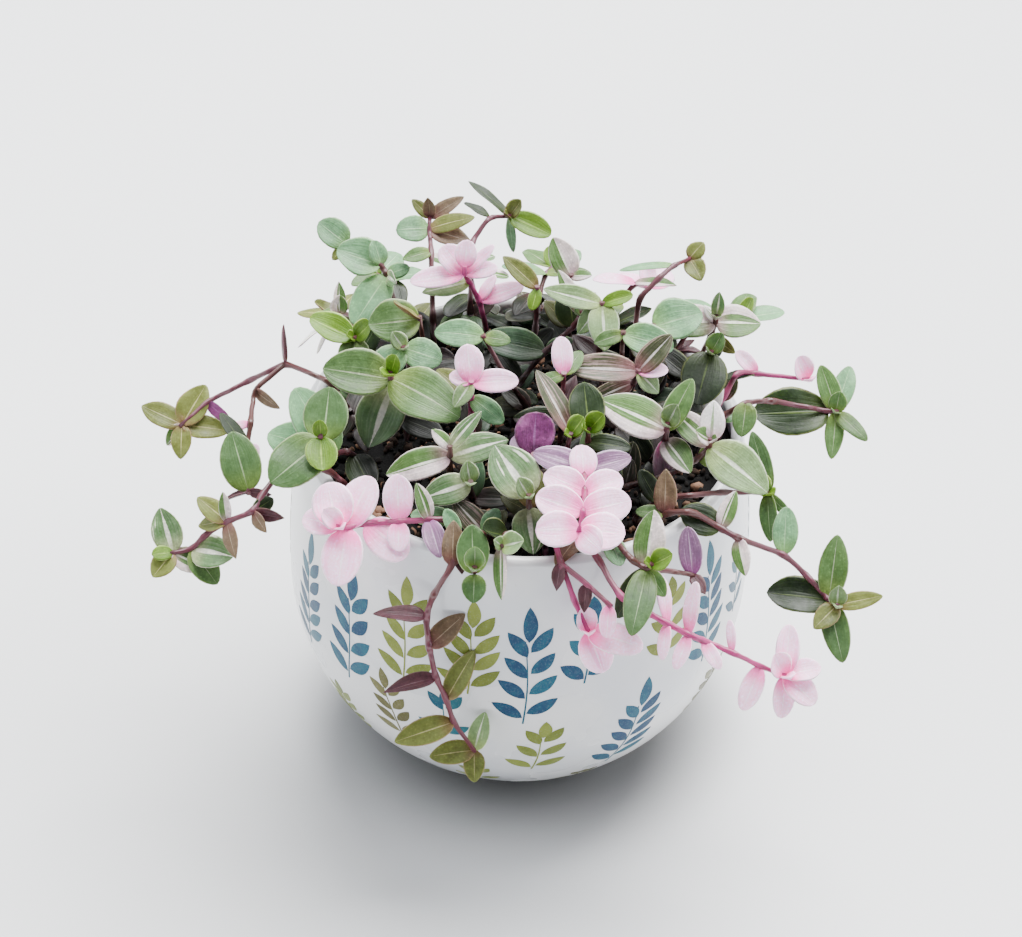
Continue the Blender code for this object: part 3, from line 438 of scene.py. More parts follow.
# %% The table of vines
VINES = {
    "mid_left": ("green", [[
        (-34, -3), (-36, -6, 118),
        (-38, -8, 127, (253, 17, 14, "stripe", 0)),
        (-38, -9, 131, (174, 17.5, 14, "green"), (331, 21, 15, "green")),
        (-38, -9, 133, (60, 6, 5, "young", 60), (240, 6, 5, "young", 60))]]),
    "left_rim": ("green", [[
        (-46, -17), (-50, -21, 114),
        (-53, -24, 115, (160, 19, 12, "blue", 0), (125, 20, 12, "blue", 0)),
        (-56, -26, 121, (86, 14.5, 12.5, "mid"), (225, 17.5, 14, "mid")),
        (-56.5, -26.8, 123, (275, 9.5, 9, "young", 12), (95, 5, 4.5, "young", 50))]]),
    "left_arm": ("olive", [[
        (-46, -5), (-51, -5, 117), (-56, -3, 125),
        (-70, 7, 124, (93, 11, 4, "purple", 45, 80)),
        (-81, 9, 116), (-94, 7, 109, (318, 8, 4, "violet", 0, 40)),
        (-101, 2, 104, (155, 12.5, 7.5, "olive", 5), (62, 12.5, 9, "olive", 15),
         (355, 12.5, 7.5, "olive", 0), (278, 9.5, 6, "olive", 0), (232, 7, 4.5, "half", -5))], [
        (-70, 6.5, 124), (-79, 3, 117, (318, 9, 4, "brown", 5, 50)),
        (-79, -8, 113, (200, 6, 3, "pink", 10)),
        (-79, -18, 110, (122, 12.5, 5.5, "dark", 15, 30)),
        (-78, -24, 108.5, (76, 7, 4, "pink", 25)),
        (-77, -32, 107, (109, 16, 11, "mid", 20), (195, 7, 4, "purple", 0, 50),
         (350, 6, 3.5, "purple", 0, 50))]]),
    "left_low": ("olive", [[
        (-49, -29), (-54, -32, 115.5), (-66, -30, 116), (-72.5, -37.5, 110),
        (-74.5, -41, 107, (345, 8, 4, "purple", 0, 40),
         (300, 6.5, 4, "brown", 0, 40), (30, 6, 4.5, "dark", 10)),
        (-82, -42, 104, (142, 10, 6, "olive", 10), (182, 8, 5, "olive", 0),
         (98, 8, 3.5, "half", 40), (285, 10, 4.5, "brown", 0, 20)),
        (-88.5, -43, 99.5), (-92, -44.5, 95.5, (350, 11, 10, "stripe", 15), (308, 11, 7.5, "green", -5)),
        (-97.5, -44.5, 94, (108, 12, 8.5, "stripe", 20), (338, 10, 7, "half", 10),
         (242, 8, 6.8, "olive", 5), (195, 5.5, 4.5, "young", 30))]]),
    "upper_left": ("green", [[
        (-33, 22), (-37, 28, 122),
        (-42, 36, 137, (243, 17, 10.5, "blue", 5), (300, 8, 4.5, "stripe", 30, 50),
         (17, 6.5, 5, "blue", 20)),
        (-44, 38, 139, (165, 12.5, 12.5, "blue", 15), (105, 7, 6, "blue", 30)),
        (-52, 46, 140),
        (-55, 49, 139, (147, 10, 9.5, "blue", 20), (230, 6, 4, "olive", 0))]]),
    "round_left": ("green", [[
        (-26, 10), (-29, 12, 122),
        (-31, 13, 137, (191, 13.5, 13.5, "green", 5), (170, 10, 4, "olive", 35, 50))]]),
    "young_left": ("green", [[
        (-43, 9), (-47, 11, 118),
        (-50, 12, 130, (160, 13, 9, "young", 15), (272, 10, 9, "green", 5))]]),
    "blue_left": ("green", [[
        (-28, 2), (-32, 2, 120),
        (-35, 2, 134, (225, 10, 9, "blue", 0), (335, 10.5, 9.5, "blue", 5))]]),
    "white_left": ("variegated", [[
        (-47, 21), (-51, 24, 117),
        (-56, 27, 128, (88, 9, 4, "half", 30, 30), (218, 14.5, 4, "white", 5, 50),
         (236, 12, 3.5, "white", -10, 50))]]),
    "top_arch": ("olive", [[
        (-16, 34), (-17, 37, 124), (-17, 43, 145),
        (-12, 54, 147.3, (150, 8, 4, "dark", 15, 30)),
        (-6, 57, 146, (138, 15, 4.2, "dark", 15, 30), (277, 10, 3.5, "blue", -20, 40),
         (338, 12.5, 7.8, "young", 0))]]),
    "top_olive": ("olive", [[
        (-27, 26), (-28, 30, 126), (-29, 40, 143, (197, 8, 5, "green", 5)),
        (-30, 48, 146, (185, 9, 9, "blue", 10), (342, 12, 7, "brown", 5),
         (12, 13, 6, "olive", 10)),
        (-30, 53, 147, (32, 11, 5, "brown", 15), (140, 7, 4, "olive", 25),
         (95, 6, 4, "brown", 30))]]),
    "pink_top": ("pink", [[
        (-9, 30), (-11, 29, 119),
        (-14, 28, 134, (18, 12.5, 6, "pink", 15), (60, 8, 4, "pink", 20)),
        (-17, 27, 141, (197, 13, 6, "pale", 5)),
        (-18.5, 26, 144.5, (189, 14.5, 7, "pink", 2), (130, 9.5, 8, "pink", 12),
         (18, 9, 5.5, "pink", 5), (44, 11, 3.5, "pink", 20)),
        (-18.5, 26, 146.5, (85, 7.5, 6.5, "pink", 25))]]),
    "top_mid": ("olive", [[
        (2, 30), (3, 29, 124),
        (3, 28, 139, (140, 12.5, 6, "olive", 20), (260, 6.5, 4, "young", 0))]]),
    "top_right": ("variegated", [[
        (14, 31), (13, 32, 124),
        (13, 32, 141, (117, 11.5, 8.5, "half", 25), (350, 6, 4, "half", 30))]]),
    "star": ("green", [[
        (23, 14), (22, 17, 124),
        (22, 19, 140, (167, 16, 7, "pale", 5), (16, 8.5, 5, "young", 20),
         (275, 13.5, 9, "pale", 5), (228, 10, 6, "pale", 0))]]),
    "centre_main": ("green", [[
        (-5, 13), (-1, 17, 113),
        (6, 20, 122, (173, 17.5, 10.5, "blue", 15), (20, 8, 5, "blue", 20)),
        (14, 20, 131, (100, 10.5, 10, "dark", 25)),
        (16, 21, 135, (120, 13, 5, "half", 40))]]),
    "centre_pale": ("green", [[
        (4, 6), (0, 5, 114), (-6, 5, 124),
        (-12, 6, 136, (172, 13, 8.5, "blue", 5), (350, 7, 5, "green", 10))]]),
    "speckled": ("green", [[
        (28, 4), (28, 6, 122),
        (28, 7, 138, (343, 13.5, 9.5, "blue", 8),
         (200, 8, 5, "green", 0))]]),
    "upper_right": ("olive", [[
        (32, 18), (32, 21, 126), (33, 23, 140),
        (39, 31, 142), (44, 40, 141, (186, 15, 6, "blue", 8, 40)),
        (49, 47, 139, (50, 6, 5.5, "olive", 25), (298, 7.5, 6.5, "olive", 10))]]),
    "round_right": ("green", [[
        (37, 9), (37, 12, 124),
        (37, 14, 136, (20, 13.5, 13, "blue", 10), (325, 8, 6, "dark", 0))]]),
    "striped_right": ("variegated", [[
        (46, 18), (51, 20, 118),
        (55, 21, 129, (320, 8, 4, "olive", -5, 30), (285, 7, 5, "dark", 0)),
        (56, 22, 133, (183, 15.5, 11, "half", 8), (0, 12, 11, "half", 8),
         (135, 5.5, 3, "white", 20)),
        (56, 22, 135, (80, 8, 4, "stripe", 60), (260, 7, 4, "stripe", 60))]]),
    "big_dark": ("green", [[
        (45, 7), (50, 8, 118),
        (53, 8, 126, (280, 13, 8, "white", -8)),
        (54, 9, 131, (254, 15.5, 13, "dark", 5))]]),
    "grey_stripe": ("variegated", [[
        (27, -5), (29, -6, 120), (31, -6, 130, (203, 14, 6, "grey", -5)),
        (32, -6, 134, (178, 19, 9, "grey", 8), (47, 13, 7, "grey", 20),
         (8, 8, 5, "pink", 15), (325, 8, 6, "pale", 0))]]),
    "pink_centre": ("pink", [[
        (-14, -9), (-15, -12, 120),
        (-15, -13, 128, (326, 10.5, 6.5, "blue", 0), (138, 12, 7.5, "olive", 5)),
        (-15, -14, 134, (98, 10, 8, "pink", 25), (7, 12, 7, "pink", 10),
         (160, 6, 5, "pink", 20), (225, 8, 5, "pale", 5))]]),
    "purple_disc": ("purple", [[
        (4, -30), (3, -32, 117), (3, -34, 122, (125, 9, 7, "lilac", 0)),
        (3, -36, 126, (90, 11, 11, "violet", 20))]]),
    "long_grey": ("green", [[
        (11, -25), (12, -28, 118), (13, -30, 129, (116, 19, 8, "grey", 10, 30))]]),
    "centre_right": ("green", [[
        (20, -24), (19, -27, 118),
        (18, -29, 126, (310, 13, 8, "dark", 0), (348, 11, 6, "dark", 5)),
        (18, -29, 130, (95, 12.5, 10, "dark", 15))]]),
    "pink_small": ("pink", [[
        (11, -5), (11, -8, 122),
        (11, -10, 135, (98, 10, 6, "pink", 20), (60, 8.5, 5, "green", 20),
         (200, 7, 4, "green", 0))]]),
    "mid_right": ("variegated", [[
        (35, -18), (38, -21, 116),
        (40, -23, 123, (268, 11, 6, "pink", -5), (303, 12, 8, "half", 0)),
        (40, -24, 127, (155, 18.5, 12, "half", 10), (66, 14.5, 7, "green", 20)),
        (40, -24, 129)]]),
    "right_front": ("variegated", [[
        (25, -30), (30, -33, 114), (40, -32, 117),
        (49, -29, 121, (15, 9, 7, "green", 5)),
        (52, -28, 125, (131, 14, 8, "half", 12), (320, 18.5, 13, "pale", 5)),
        (52, -28, 127, (85, 10, 7, "white", 35))]]),
    "right_run": ("green", [[
        (32, -38), (40, -39, 115), (56, -37, 116),
        (69, -33, 113, (270, 12.5, 5, "mid", -5, 20), (312, 9, 3, "green", 0, 30),
         (105, 16, 6, "mid", 25))]]),
    "right_low": ("green", [[
        (35, -43), (40, -46, 115.5), (47, -46, 116),
        (55, -48, 112, (158, 11, 9, "dark", 8), (70, 10, 5, "half", 25)),
        (60, -49, 109.5, (278, 9.5, 5, "half", -5, 20)),
        (73, -50, 105, (90, 12, 7, "blue", 20)), (80, -52, 99),
        (86, -56, 94, (173, 15.5, 11, "dark", 8), (84, 16.5, 8, "green", 20),
         (281, 16, 7.5, "mid", 0)),
        (88, -58, 94, (229, 9, 6, "olive", 15), (10, 11.5, 5, "olive", 20))]]),
    "right_dark": ("green", [[
        (52, -6), (58, -4, 118),
        (64, -4, 123, (265, 9.5, 7, "green", 0)),
        (72, 0, 121), (90, 5, 114, (187, 20.5, 14.5, "dark", 10)),
        (92, 5, 114, (108, 13, 6.5, "green", 25), (72, 14, 6.5, "blue", 20),
         (266, 13, 5.5, "green", 0), (309, 12, 5, "green", 5))]]),
    "pink_right": ("pink", [[
        (53, 2), (59, 5, 119), (62, 7, 126),
        (68, 9, 124, (185, 9.5, 5, "dark", 0, 40), (150, 8, 5, "pink", 20)),
        (84, 14, 119)]]),
    "pink_front_left": ("pink", [[
        (-15, -42), (-20, -50, 114),
        (-25, -53, 116, (108, 9.5, 5, "half", 30, 20), (288, 11, 6, "lilac", -5)),
        (-33, -54, 116, (94, 11.5, 8, "pink", 30), (270, 7.5, 6, "pink", 0)),
        (-42, -54, 115, (325, 13, 10.5, "pink", 0)),
        (-47, -55, 114, (69, 14, 10, "pink", 15), (264, 14.5, 11, "pink", 0)),
        (-49, -56, 115, (110, 11.5, 11, "pink", 15), (163, 10, 8, "pink", 15))]]),
    "striped_leaf": ("variegated", [[
        (-12, -36), (-14, -41, 116),
        (-14, -44, 122, (200, 12.5, 8.5, "stripe", 8))]]),
    "variegated": ("variegated", [[
        (-20, -29), (-20, -33, 117),
        (-20, -35, 124, (199, 16.5, 9, "half", 8), (18, 15, 8.5, "stripe", 10)),
        (-20, -35, 127, (49, 12, 4.5, "stripe", 30), (140, 6.5, 4, "half", 30))]]),
    "front_stripe": ("variegated", [[
        (5, -42), (4, -46, 114),
        (2, -49, 118, (270, 15, 13, "stripe", -5), (80, 11, 8, "olive", 0)),
        (2, -49, 122, (123, 15.5, 13, "stripe", 10))]]),
    "front_left_green": ("green", [[
        (-8, -49), (-11, -57, 115.5), (-12, -64, 116),
        (-12, -69, 111, (97, 12, 8.5, "mid", 20), (270, 7, 6.5, "mid", -5)),
        (-12, -69, 113)]]),
    "front_droop": ("variegated", [[
        (-2, -50), (-4, -57, 115.5),
        (-5, -63, 116, (268, 13, 5, "half", -20, 40))]]),
    "pink_front": ("pink", [[
        (16, -38), (17, -42, 118),
        (17, -43.5, 127.4, (160, 13.5, 8, "lilac", 4), (18, 12, 7, "lilac", 4)),
        (16.7, -46.5, 127, (93, 8.8, 7.5, "pink", 6)),
        (17, -51, 125.6, (155, 11, 8.8, "pink", 6), (24, 10, 8.2, "pink", 6)),
        (16.5, -57, 123.8, (163, 12, 9.6, "pink", 6), (16, 12, 9.6, "pink", 6)),
        (15.6, -62.3, 122, (182, 10.5, 10, "pink", 6), (356, 11, 10.5, "pink", 6),
         (306, 8, 7.5, "pink", 16))]]),
    "front_green": ("green", [[
        (22, -50), (25, -58, 116), (30, -65, 114),
        (34, -66, 112, (86, 14.5, 8.5, "half", 20), (258, 18, 8, "mid", -5),
         (235, 14, 6.5, "dark", -10), (282, 8, 5, "green", 0)),
        (35, -66, 113.5)], [
        (34, -66, 112), (41, -63, 109),
        (47, -61, 106, (97, 12, 6.5, "lilac", 30), (300, 6, 4, "purple"))]]),
    "pink_front_long": ("pink", [[
        (13, -50), (16, -58, 116), (21, -66, 115), (27, -73, 108), (34, -74, 104),
        (40, -74, 100, (98, 12, 4.5, "pink", 30, 30), (262, 9, 4, "pink", -5, 30)),
        (46, -75, 97, (88, 13, 4.5, "pink", 30, -30), (250, 9, 4, "pink", -5)),
        (50, -75, 95, (300, 8, 4, "pink", 0)),
        (58, -76, 92, (95, 8, 2.6, "pink", 30)),
        (66, -77, 88, (248, 11.5, 6, "pink", -10)),
        (73, -77, 85, (84, 12.5, 6.5, "pink", 20), (318, 10, 7.5, "pink", 5),
         (268, 10.5, 6, "pink", 0), (22, 9, 7, "pink", 15))]]),
    "pink_front_hanging": ("pink", [[
        (7, -51), (9, -59, 116), (11, -67, 114, (258, 7, 4, "purple", -25, 20)),
        (15, -72, 105),
        (19, -75, 97, (292, 10.5, 9, "pink", -5), (342, 14, 8.5, "pink", 0))], [
        (11, -67, 114), (18, -71, 110.5, (262, 7, 4, "purple", -20, 20)),
        (24, -75, 107, (268, 8, 4.5, "pink", -15))]]),
    "trailing": ("olive", [[
        (-14, -50), (-17, -59, 116), (-18, -67, 112, (90, 11, 6.5, "brown", 20)),
        (-23, -69, 103), (-25, -69, 95, (175, 13, 6, "purple", 5, 20)),
        (-24, -72, 87, (39, 12, 6.5, "brown", 10)),
        (-22, -74, 77, (192, 13.5, 6, "purple", 0, 20)),
        (-19, -75, 70, (65, 14.5, 6.5, "olive", 15)),
        (-17, -76, 62, (201, 15.5, 7.5, "olive", 5)),
        (-11, -76, 51, (187, 11.5, 7, "olive", 5), (76, 10.5, 6, "pale", 15),
         (272, 8, 6, "olive", 0))]]),
    "back_left": ("green", [[
        (-34, 41), (-39, 49, 118), (-43, 55, 123, (215, 12, 9, "green"), (20, 11, 8, "blue"),
                                    (285, 13, 9, "dark", -12)),
        (-47, 62, 120, (130, 14, 10, "green"), (60, 12, 9, "blue"),
         (100, 6, 5, "young", 45))]]),
    "back_far_left": ("olive", [[
        (-46, 33), (-52, 40, 118), (-58, 47, 116, (215, 8, 6, "green", 0), (70, 11, 7, "olive")),
        (-60, 53, 110, (160, 12, 8, "olive", 0), (100, 12, 8, "olive", 0))]]),
    "back_mid_left": ("variegated", [[
        (-15, 49), (-15.5, 52, 113, (222, 13, 9, "green", 5), (318, 13, 9, "stripe", 5)),
        (-16, 55, 118, (232, 13, 9, "dark", 0), (300, 13, 9, "olive", 0)),
        (-18, 62, 122, (195, 12, 9, "stripe"), (340, 12, 9, "half")),
        (-21, 71, 118, (150, 13, 9, "half"), (40, 12, 8, "stripe"), (270, 10, 7, "green"),
         (90, 12, 8, "stripe", -5))]]),
    "back_mid": ("green", [[
        (3, 50), (3.5, 53, 113, (228, 13, 9, "olive", 5), (312, 13, 9, "green", 5)),
        (4, 57, 118, (240, 13, 9, "grey", 0), (308, 13, 9, "dark", 0)),
        (6, 63, 122, (190, 13, 9, "blue"), (350, 13, 9, "green")),
        (8, 71, 119, (130, 13, 9, "green"), (50, 13, 9, "blue"),
         (90, 7, 6, "young", 40))]]),
    "back_right": ("pink", [[
        (25, 45), (27, 48, 113, (225, 13, 9, "blue", 5), (320, 13, 9, "dark", 5)),
        (29, 52, 119, (235, 12, 8, "green", 0)),
        (34, 59, 122, (185, 12, 9, "pink"), (345, 12, 8, "half")),
        (39, 67, 115, (140, 12, 8, "pink"), (60, 13, 9, "pink"), (95, 8, 6, "pink", 35))]]),
    "back_far_right": ("green", [[
        (43, 33), (50, 39, 118, (200, 12, 8, "dark", 0)),
        (58, 45, 120, (320, 12, 8, "green"), (140, 12, 8, "blue")),
        (67, 51, 115, (10, 13, 9, "blue"), (80, 13, 9, "green"), (45, 7, 5, "young", 40))]]),
}

# Stems that stay bare low down, most of them because they run off over the rim.
BARE_STEMS = {
    "left_arm", "left_low", "top_arch", "centre_main", "centre_pale", "right_run", "right_low",
    "right_dark", "pink_right", "pink_front_left", "front_left_green", "front_droop",
    "front_green", "pink_front_long", "pink_front_hanging", "trailing",
}
print("vines:", len(VINES))

# %% [markdown]
# ## The rules of growth
# Crowded leaves make room for each other on a real plant, and the solid model does the same by a
# fixed rule: a leaf that would cut through a stem, a leaf or the pot is turned, lifted, rolled or
# shortened, by the smallest change that clears it. The search runs on plain flat blades, held in
# trees of faces that Blender can test against one another quickly.

# %% How a leaf stands
ROOT_TIP = 90.4
STEM_UPRIGHT_TO = 107.5
SOIL_CROWN = 106.5
RIM_RADIUS = 65.0
STEM_RADIUS = 1.1
BRANCH_RADIUS = 1.04
TIP_EXTRA = 0.9
TIP_SHARE = 0.7
BLADE_THICKNESS = 0.8
CLEARANCE = 0.4
GROWTH = 1.06
USUAL_RISE = 12.0
DROOP = 0.1
TO_THE_LIGHT = Vector((0.0, -0.5, 0.87)).normalized()
TO_THE_BACK = Vector((0.0, 0.15, 1.0)).normalized()


def lean_of(name):
    """Which way a vine's leaves face: those at the back look up and away."""
    return TO_THE_BACK if name.startswith("back") else TO_THE_LIGHT


def blade_axes(lean, heading, rise, roll):
    """A blade's own directions: along its midrib, across it, and out of its upper face."""
    right = Vector((1, 0, 0)) - lean * lean.x
    right.normalize()
    far = lean.cross(right)
    h = math.radians(heading)
    r = math.radians(rise)
    along = (right * math.cos(h) + far * math.sin(h)) * math.cos(r) + lean * math.sin(r)
    face = (lean - along * lean.dot(along)).normalized()
    across = face.cross(along)
    t = math.radians(roll)
    return along, across * math.cos(t) + face * math.sin(t), face * math.cos(t) - across * math.sin(t)


def grown(leaf):
    """A leaf's entry at its full growth, with the rise and roll that the table leaves out."""
    heading, length, width, kind, rise, roll = (*leaf, *(USUAL_RISE, 0.0)[len(leaf) - 4:])
    return heading, length * GROWTH, width * GROWTH, kind, rise, roll


def moved(leaf, scale, lift, turn, roll):
    """A grown leaf with a change of size, rise, heading and roll."""
    heading, length, width, kind, rise, tilt = leaf
    return heading + turn, length * scale, width * scale, kind, rise + lift, tilt + roll


def vine_paths(runs):
    """Each run of joints as points, the first one starting in its hole in the soil."""
    paths = []
    for number, run in enumerate(runs):
        points = [Vector(joint[:3]) for joint in (run[1:] if number == 0 else run)]
        if number == 0:
            x, y = run[0]
            points = [Vector((x, y, ROOT_TIP)), Vector((x, y, STEM_UPRIGHT_TO))] + points
        paths.append(points)
    return paths


print("usual rise of a leaf:", USUAL_RISE, "degrees")

# %% The plain blade of the search
LARGE_OUTLINE = ((0.0, 0.12), (0.18, 0.8), (0.46, 1.0), (0.77, 0.72))
MIDDLE_OUTLINE = ((0.0, 0.14), (0.28, 0.95), (0.66, 0.86))
BUD_OUTLINE = ((0.0, 0.22), (0.5, 1.0))
LARGE_FROM = 14.0
BUD_UNDER = 6.5


def outline_for(length):
    """The stations of a leaf of this length."""
    if length < BUD_UNDER:
        return BUD_OUTLINE
    return LARGE_OUTLINE if length >= LARGE_FROM else MIDDLE_OUTLINE


def blade(base, lean, leaf, grow=0.0, outer_only=False):
    """A pointed blade of one thickness, drooping to its tip.

    With grow it is that much larger all round, to test for clearance.
    """
    heading, length, width, _, rise, roll = leaf
    along, across, face = blade_axes(lean, heading, rise, roll)

    def middle(t):
        return base + along * (length * t) - face * (length * DROOP * t * t)

    stations = outline_for(length)[1 if outer_only else 0:]
    verts = []
    skin = face * (BLADE_THICKNESS / 2 + grow)
    for t, share in stations:
        half = across * (width / 2 * share + grow)
        m = middle(t)
        verts += [m + half + skin, m - half + skin, m - half - skin, m + half - skin]
    tip = middle(1.0) + along * grow
    verts += [tip + skin, tip - skin]
    last = (len(stations) - 1) * 4
    faces = [(3, 2, 1, 0)]
    for first in range(0, last, 4):
        for a, b in ((0, 1), (1, 2), (2, 3), (3, 0)):
            faces.append((first + a, first + b, first + b + 4, first + a + 4))
    top, bottom = last + 4, last + 5
    faces += [(last, last + 1, top), (last + 1, last + 2, bottom, top),
              (last + 2, last + 3, bottom), (last + 3, last, top, bottom)]
    return verts, faces


def blade_tree(*blade_values):
    """The surface of a plain blade."""
    return BVHTree.FromPolygons(*blade(*blade_values))


def surface_tree(mesh):
    """A mesh's surface in millimetres, for finding what would cut through it."""
    corners = [v.co / MM for v in mesh.vertices]
    return BVHTree.FromPolygons(corners, [tuple(p.vertices) for p in mesh.polygons])


def stem_tree(a, b):
    """The surface of a plain square stem between two points."""
    curve = bpy.data.curves.new("guide", "CURVE")
    curve.dimensions = "3D"
    curve.bevel_depth = STEM_RADIUS * MM
    curve.bevel_resolution = 0
    curve.use_fill_caps = True
    spline = curve.splines.new("POLY")
    spline.points.add(1)
    for knot, point in zip(spline.points, (a, b)):
        knot.co = (*(point * MM), 1.0)
    spline.points[-1].radius = TIP_SHARE
    guide = bpy.data.objects.new("guide", curve)
    mesh = bpy.data.meshes.new_from_object(guide)
    tree = surface_tree(mesh)
    bpy.data.objects.remove(guide)
    bpy.data.curves.remove(curve)
    bpy.data.meshes.remove(mesh)
    return tree


print("plain blades of", len(BUD_OUTLINE), "to", len(LARGE_OUTLINE), "stations")

# %% How crowded leaves make room
SHADE_SEED = 11
SHADE_LENGTHS = (11.0, 14.5)
SHADE_WIDTH = 0.62
SHADE_LIFT = (4.0, 9.0)
SHADE_KINDS = ("dark", "grey", "olive", "dark", "half", "green")
OUTER_SWELL = 0.1


def bending_order():
    """Ways a crowded leaf may move, from the smallest change to the largest."""
    choices = []
    for scale in (1.0, 0.92, 0.84, 0.76, 0.68, 0.6):
        for lift in (0, 6, -6, 12, -12, 20, -20, 30):
            for turn in (0, 7, -7, 14, -14, 22, -22, 32, -32):
                for roll in (0, 20, -20):
                    cost = abs(turn) / 10 + abs(lift) / 10 + abs(roll) / 15 + (1 - scale) * 14
                    choices.append((cost, scale, lift, turn, roll))
    choices.sort(key=lambda choice: choice[0])
    return choices


class Neighbours:
    """The stems and blades placed so far, and the leaves of each vine."""

    def __init__(self, wall):
        self.wall = wall
        self.leaves = {name: [] for name in VINES}
        self.items = [(name, (a + b) / 2, (a - b).length / 2, stem_tree(a, b), None)
                      for name, (_, runs) in VINES.items() for points in vine_paths(runs)
                      for a, b in zip(points, points[1:])]

    def clears(self, vine, base, leaf):
        """Whether a blade would stand free of the soil, the pot and everything placed."""
        lean = lean_of(vine)
        verts, faces = blade(base, lean, leaf, CLEARANCE)
        floor = SOIL_CROWN + CLEARANCE
        if any(v.z < 1 or (v.z < floor and math.hypot(v.x, v.y) < RIM_RADIUS) for v in verts):
            return False
        tree = BVHTree.FromPolygons(verts, faces)
        if tree.overlap(self.wall):
            return False
        outer = None
        for other, centre, reach, whole, tip in self.items:
            if (centre - base).length > reach + leaf[1] + 2:
                continue
            if other != vine:
                if tree.overlap(whole):
                    return False
            elif tip is not None:
                outer = outer or blade_tree(base, lean, leaf, OUTER_SWELL, True)
                if outer.overlap(tip):
                    return False
        return True

    def settle(self, vine, base, leaf, order):
        """Move a leaf by the smallest change that clears its neighbours, and keep it there."""
        for _, scale, lift, turn, roll in order:
            trial = moved(leaf, scale, lift, turn, roll)
            if self.clears(vine, base, trial):
                lean = lean_of(vine)
                self.leaves[vine].append((base, trial))
                self.items.append((vine, base, trial[1], blade_tree(base, lean, trial),
                                   blade_tree(base, lean, trial, 0.0, True)))
                return True
        return False


def upright_stretch(runs):
    """The two ends of the first stretch that a stem stands up in."""
    return Vector((*runs[0][0], STEM_UPRIGHT_TO)), Vector(runs[0][1][:3])


def shade_leaves():
    """A low leaf for each upright stem: a place on it, and the leaf's entry."""
    draw = random.Random(SHADE_SEED)
    extra = []
    for name, (_, runs) in VINES.items():
        low, high = upright_stretch(runs)
        length = draw.uniform(*SHADE_LENGTHS)
        share = min(1.0, draw.uniform(*SHADE_LIFT) / (high - low).length)
        entry = (draw.uniform(0, 360), length, length * SHADE_WIDTH,
                 draw.choice(SHADE_KINDS), draw.uniform(5, 30))
        if name not in BARE_STEMS:
            extra.append((name, low.lerp(high, share), entry))
    return extra


neighbours = Neighbours(surface_tree(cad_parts["pot"].data))
bends = bending_order()
wanted = [(name, Vector(joint[:3]), leaf) for name, (_, runs) in VINES.items()
          for run in runs for joint in run for leaf in joint[3:]]
for name, base, leaf in wanted + shade_leaves():
    neighbours.settle(name, base, grown(leaf), bends)
print("leaves:", sum(len(leaves) for leaves in neighbours.leaves.values()))

# %% [markdown]
# ## The undergrowth
# Under the canopy the old stems keep a few small, dull leaves that get little light. The solid
# model has one of them on each upright stem. The real plant has more, so two more are set on each
# stem by the same search, where there is room for them. Two patches of soil lie open to the
# light, one on each side, and the stems there keep none.

# %% Small leaves in the shade
UNDER_SEED = 77
UNDER_LEAVES = 3
UNDER_LENGTHS = (7.5, 12.5)
UNDER_WIDTHS = (0.5, 0.7)
UNDER_KINDS = ("dark", "grey", "olive", "purple", "dark", "brown", "green", "blue")
UNDER_HEIGHTS = (0.3, 0.95)
OPEN_SOIL = (((-33, -22), 19), ((47, -30), 14))
UNDER_TRIES = 90


def under_leaf(draw):
    """A small leaf's entry, with a share of the stem's height before it."""
    length = draw.uniform(*UNDER_LENGTHS)
    share = draw.uniform(*UNDER_HEIGHTS)
    return share, (draw.uniform(0, 360), length, length * draw.uniform(*UNDER_WIDTHS),
                   draw.choice(UNDER_KINDS), draw.uniform(-5, 30), 0.0)


draw = random.Random(UNDER_SEED)
small_leaves = 0
for name, (_, runs) in VINES.items():
    low, high = upright_stretch(runs)
    if any((low.xy - Vector(middle)).length < reach for middle, reach in OPEN_SOIL):
        continue
    for _ in range(UNDER_LEAVES):
        share, leaf = under_leaf(draw)
        small_leaves += neighbours.settle(name, low.lerp(high, share), leaf, bends[:UNDER_TRIES])
print("small leaves added:", small_leaves)

# %% [markdown]
# ## A fleshy leaf
# A turtle vine leaf is thick and juicy, clasps its stem with a broad base and ends in a short
# point. It could be a flat card with a picture of a leaf on it, but then it would have no edge
# and no thickness. Here a ball is drawn out into a leaf instead: its two poles become the base
# and the tip, its rings become the cross sections, and each corner is moved to its place across
# the blade. The ball is closed, so the leaf is closed too.
# Each leaf is folded, cupped, waved and twisted by a small random amount of its own.

# %% Shaping leaves
BASE_POWER = 0.5
TIP_POWERS = {"blue": 0.5, "green": 0.55, "mid": 0.55, "pink": 0.44, "lilac": 0.5, "violet": 0.4,
              "dark": 0.52, "young": 0.42, "grey": 0.6, "olive": 0.6, "brown": 0.68, "purple": 0.8}
USUAL_TIP_POWER = 0.62
TIP_POINT = 0.045
LEAF_THICKNESS = 0.85
RIB_GROOVE = 0.14
THINNER_TIP = 0.35
USUAL_FOLD = (2.0, 13.0)
YOUNG_FOLD = (10.0, 20.0)
USUAL_CUP = (0.0, 0.12)
YOUNG_CUP = (0.16, 0.3)
USUAL_CURL = (0.0, 0.06)
YOUNG_CURL = (-0.16, -0.06)
WAVE = 0.05
WAVES_ALONG = 9
TWIST = 9.0
SWING = 0.04
FOLDED_KINDS = {"young", "purple"}
STEEP = 35.0
HELD_MIDDLE = 0.36


def leaf_share(t, tip_power):
    """How wide a leaf is at a share of its length, where its widest place is 1."""
    widest_at = BASE_POWER / (BASE_POWER + tip_power)
    widest = widest_at ** BASE_POWER * (1 - widest_at) ** tip_power
    return max(0.0, t) ** BASE_POWER * max(0.0, 1 - t) ** tip_power / widest


def leaf_sides(length):
    """How many sides and rings a leaf of this length needs to look round."""
    if length < 7:
        return 8, 7
    return (12, 9) if length < 12 else (12, 12)


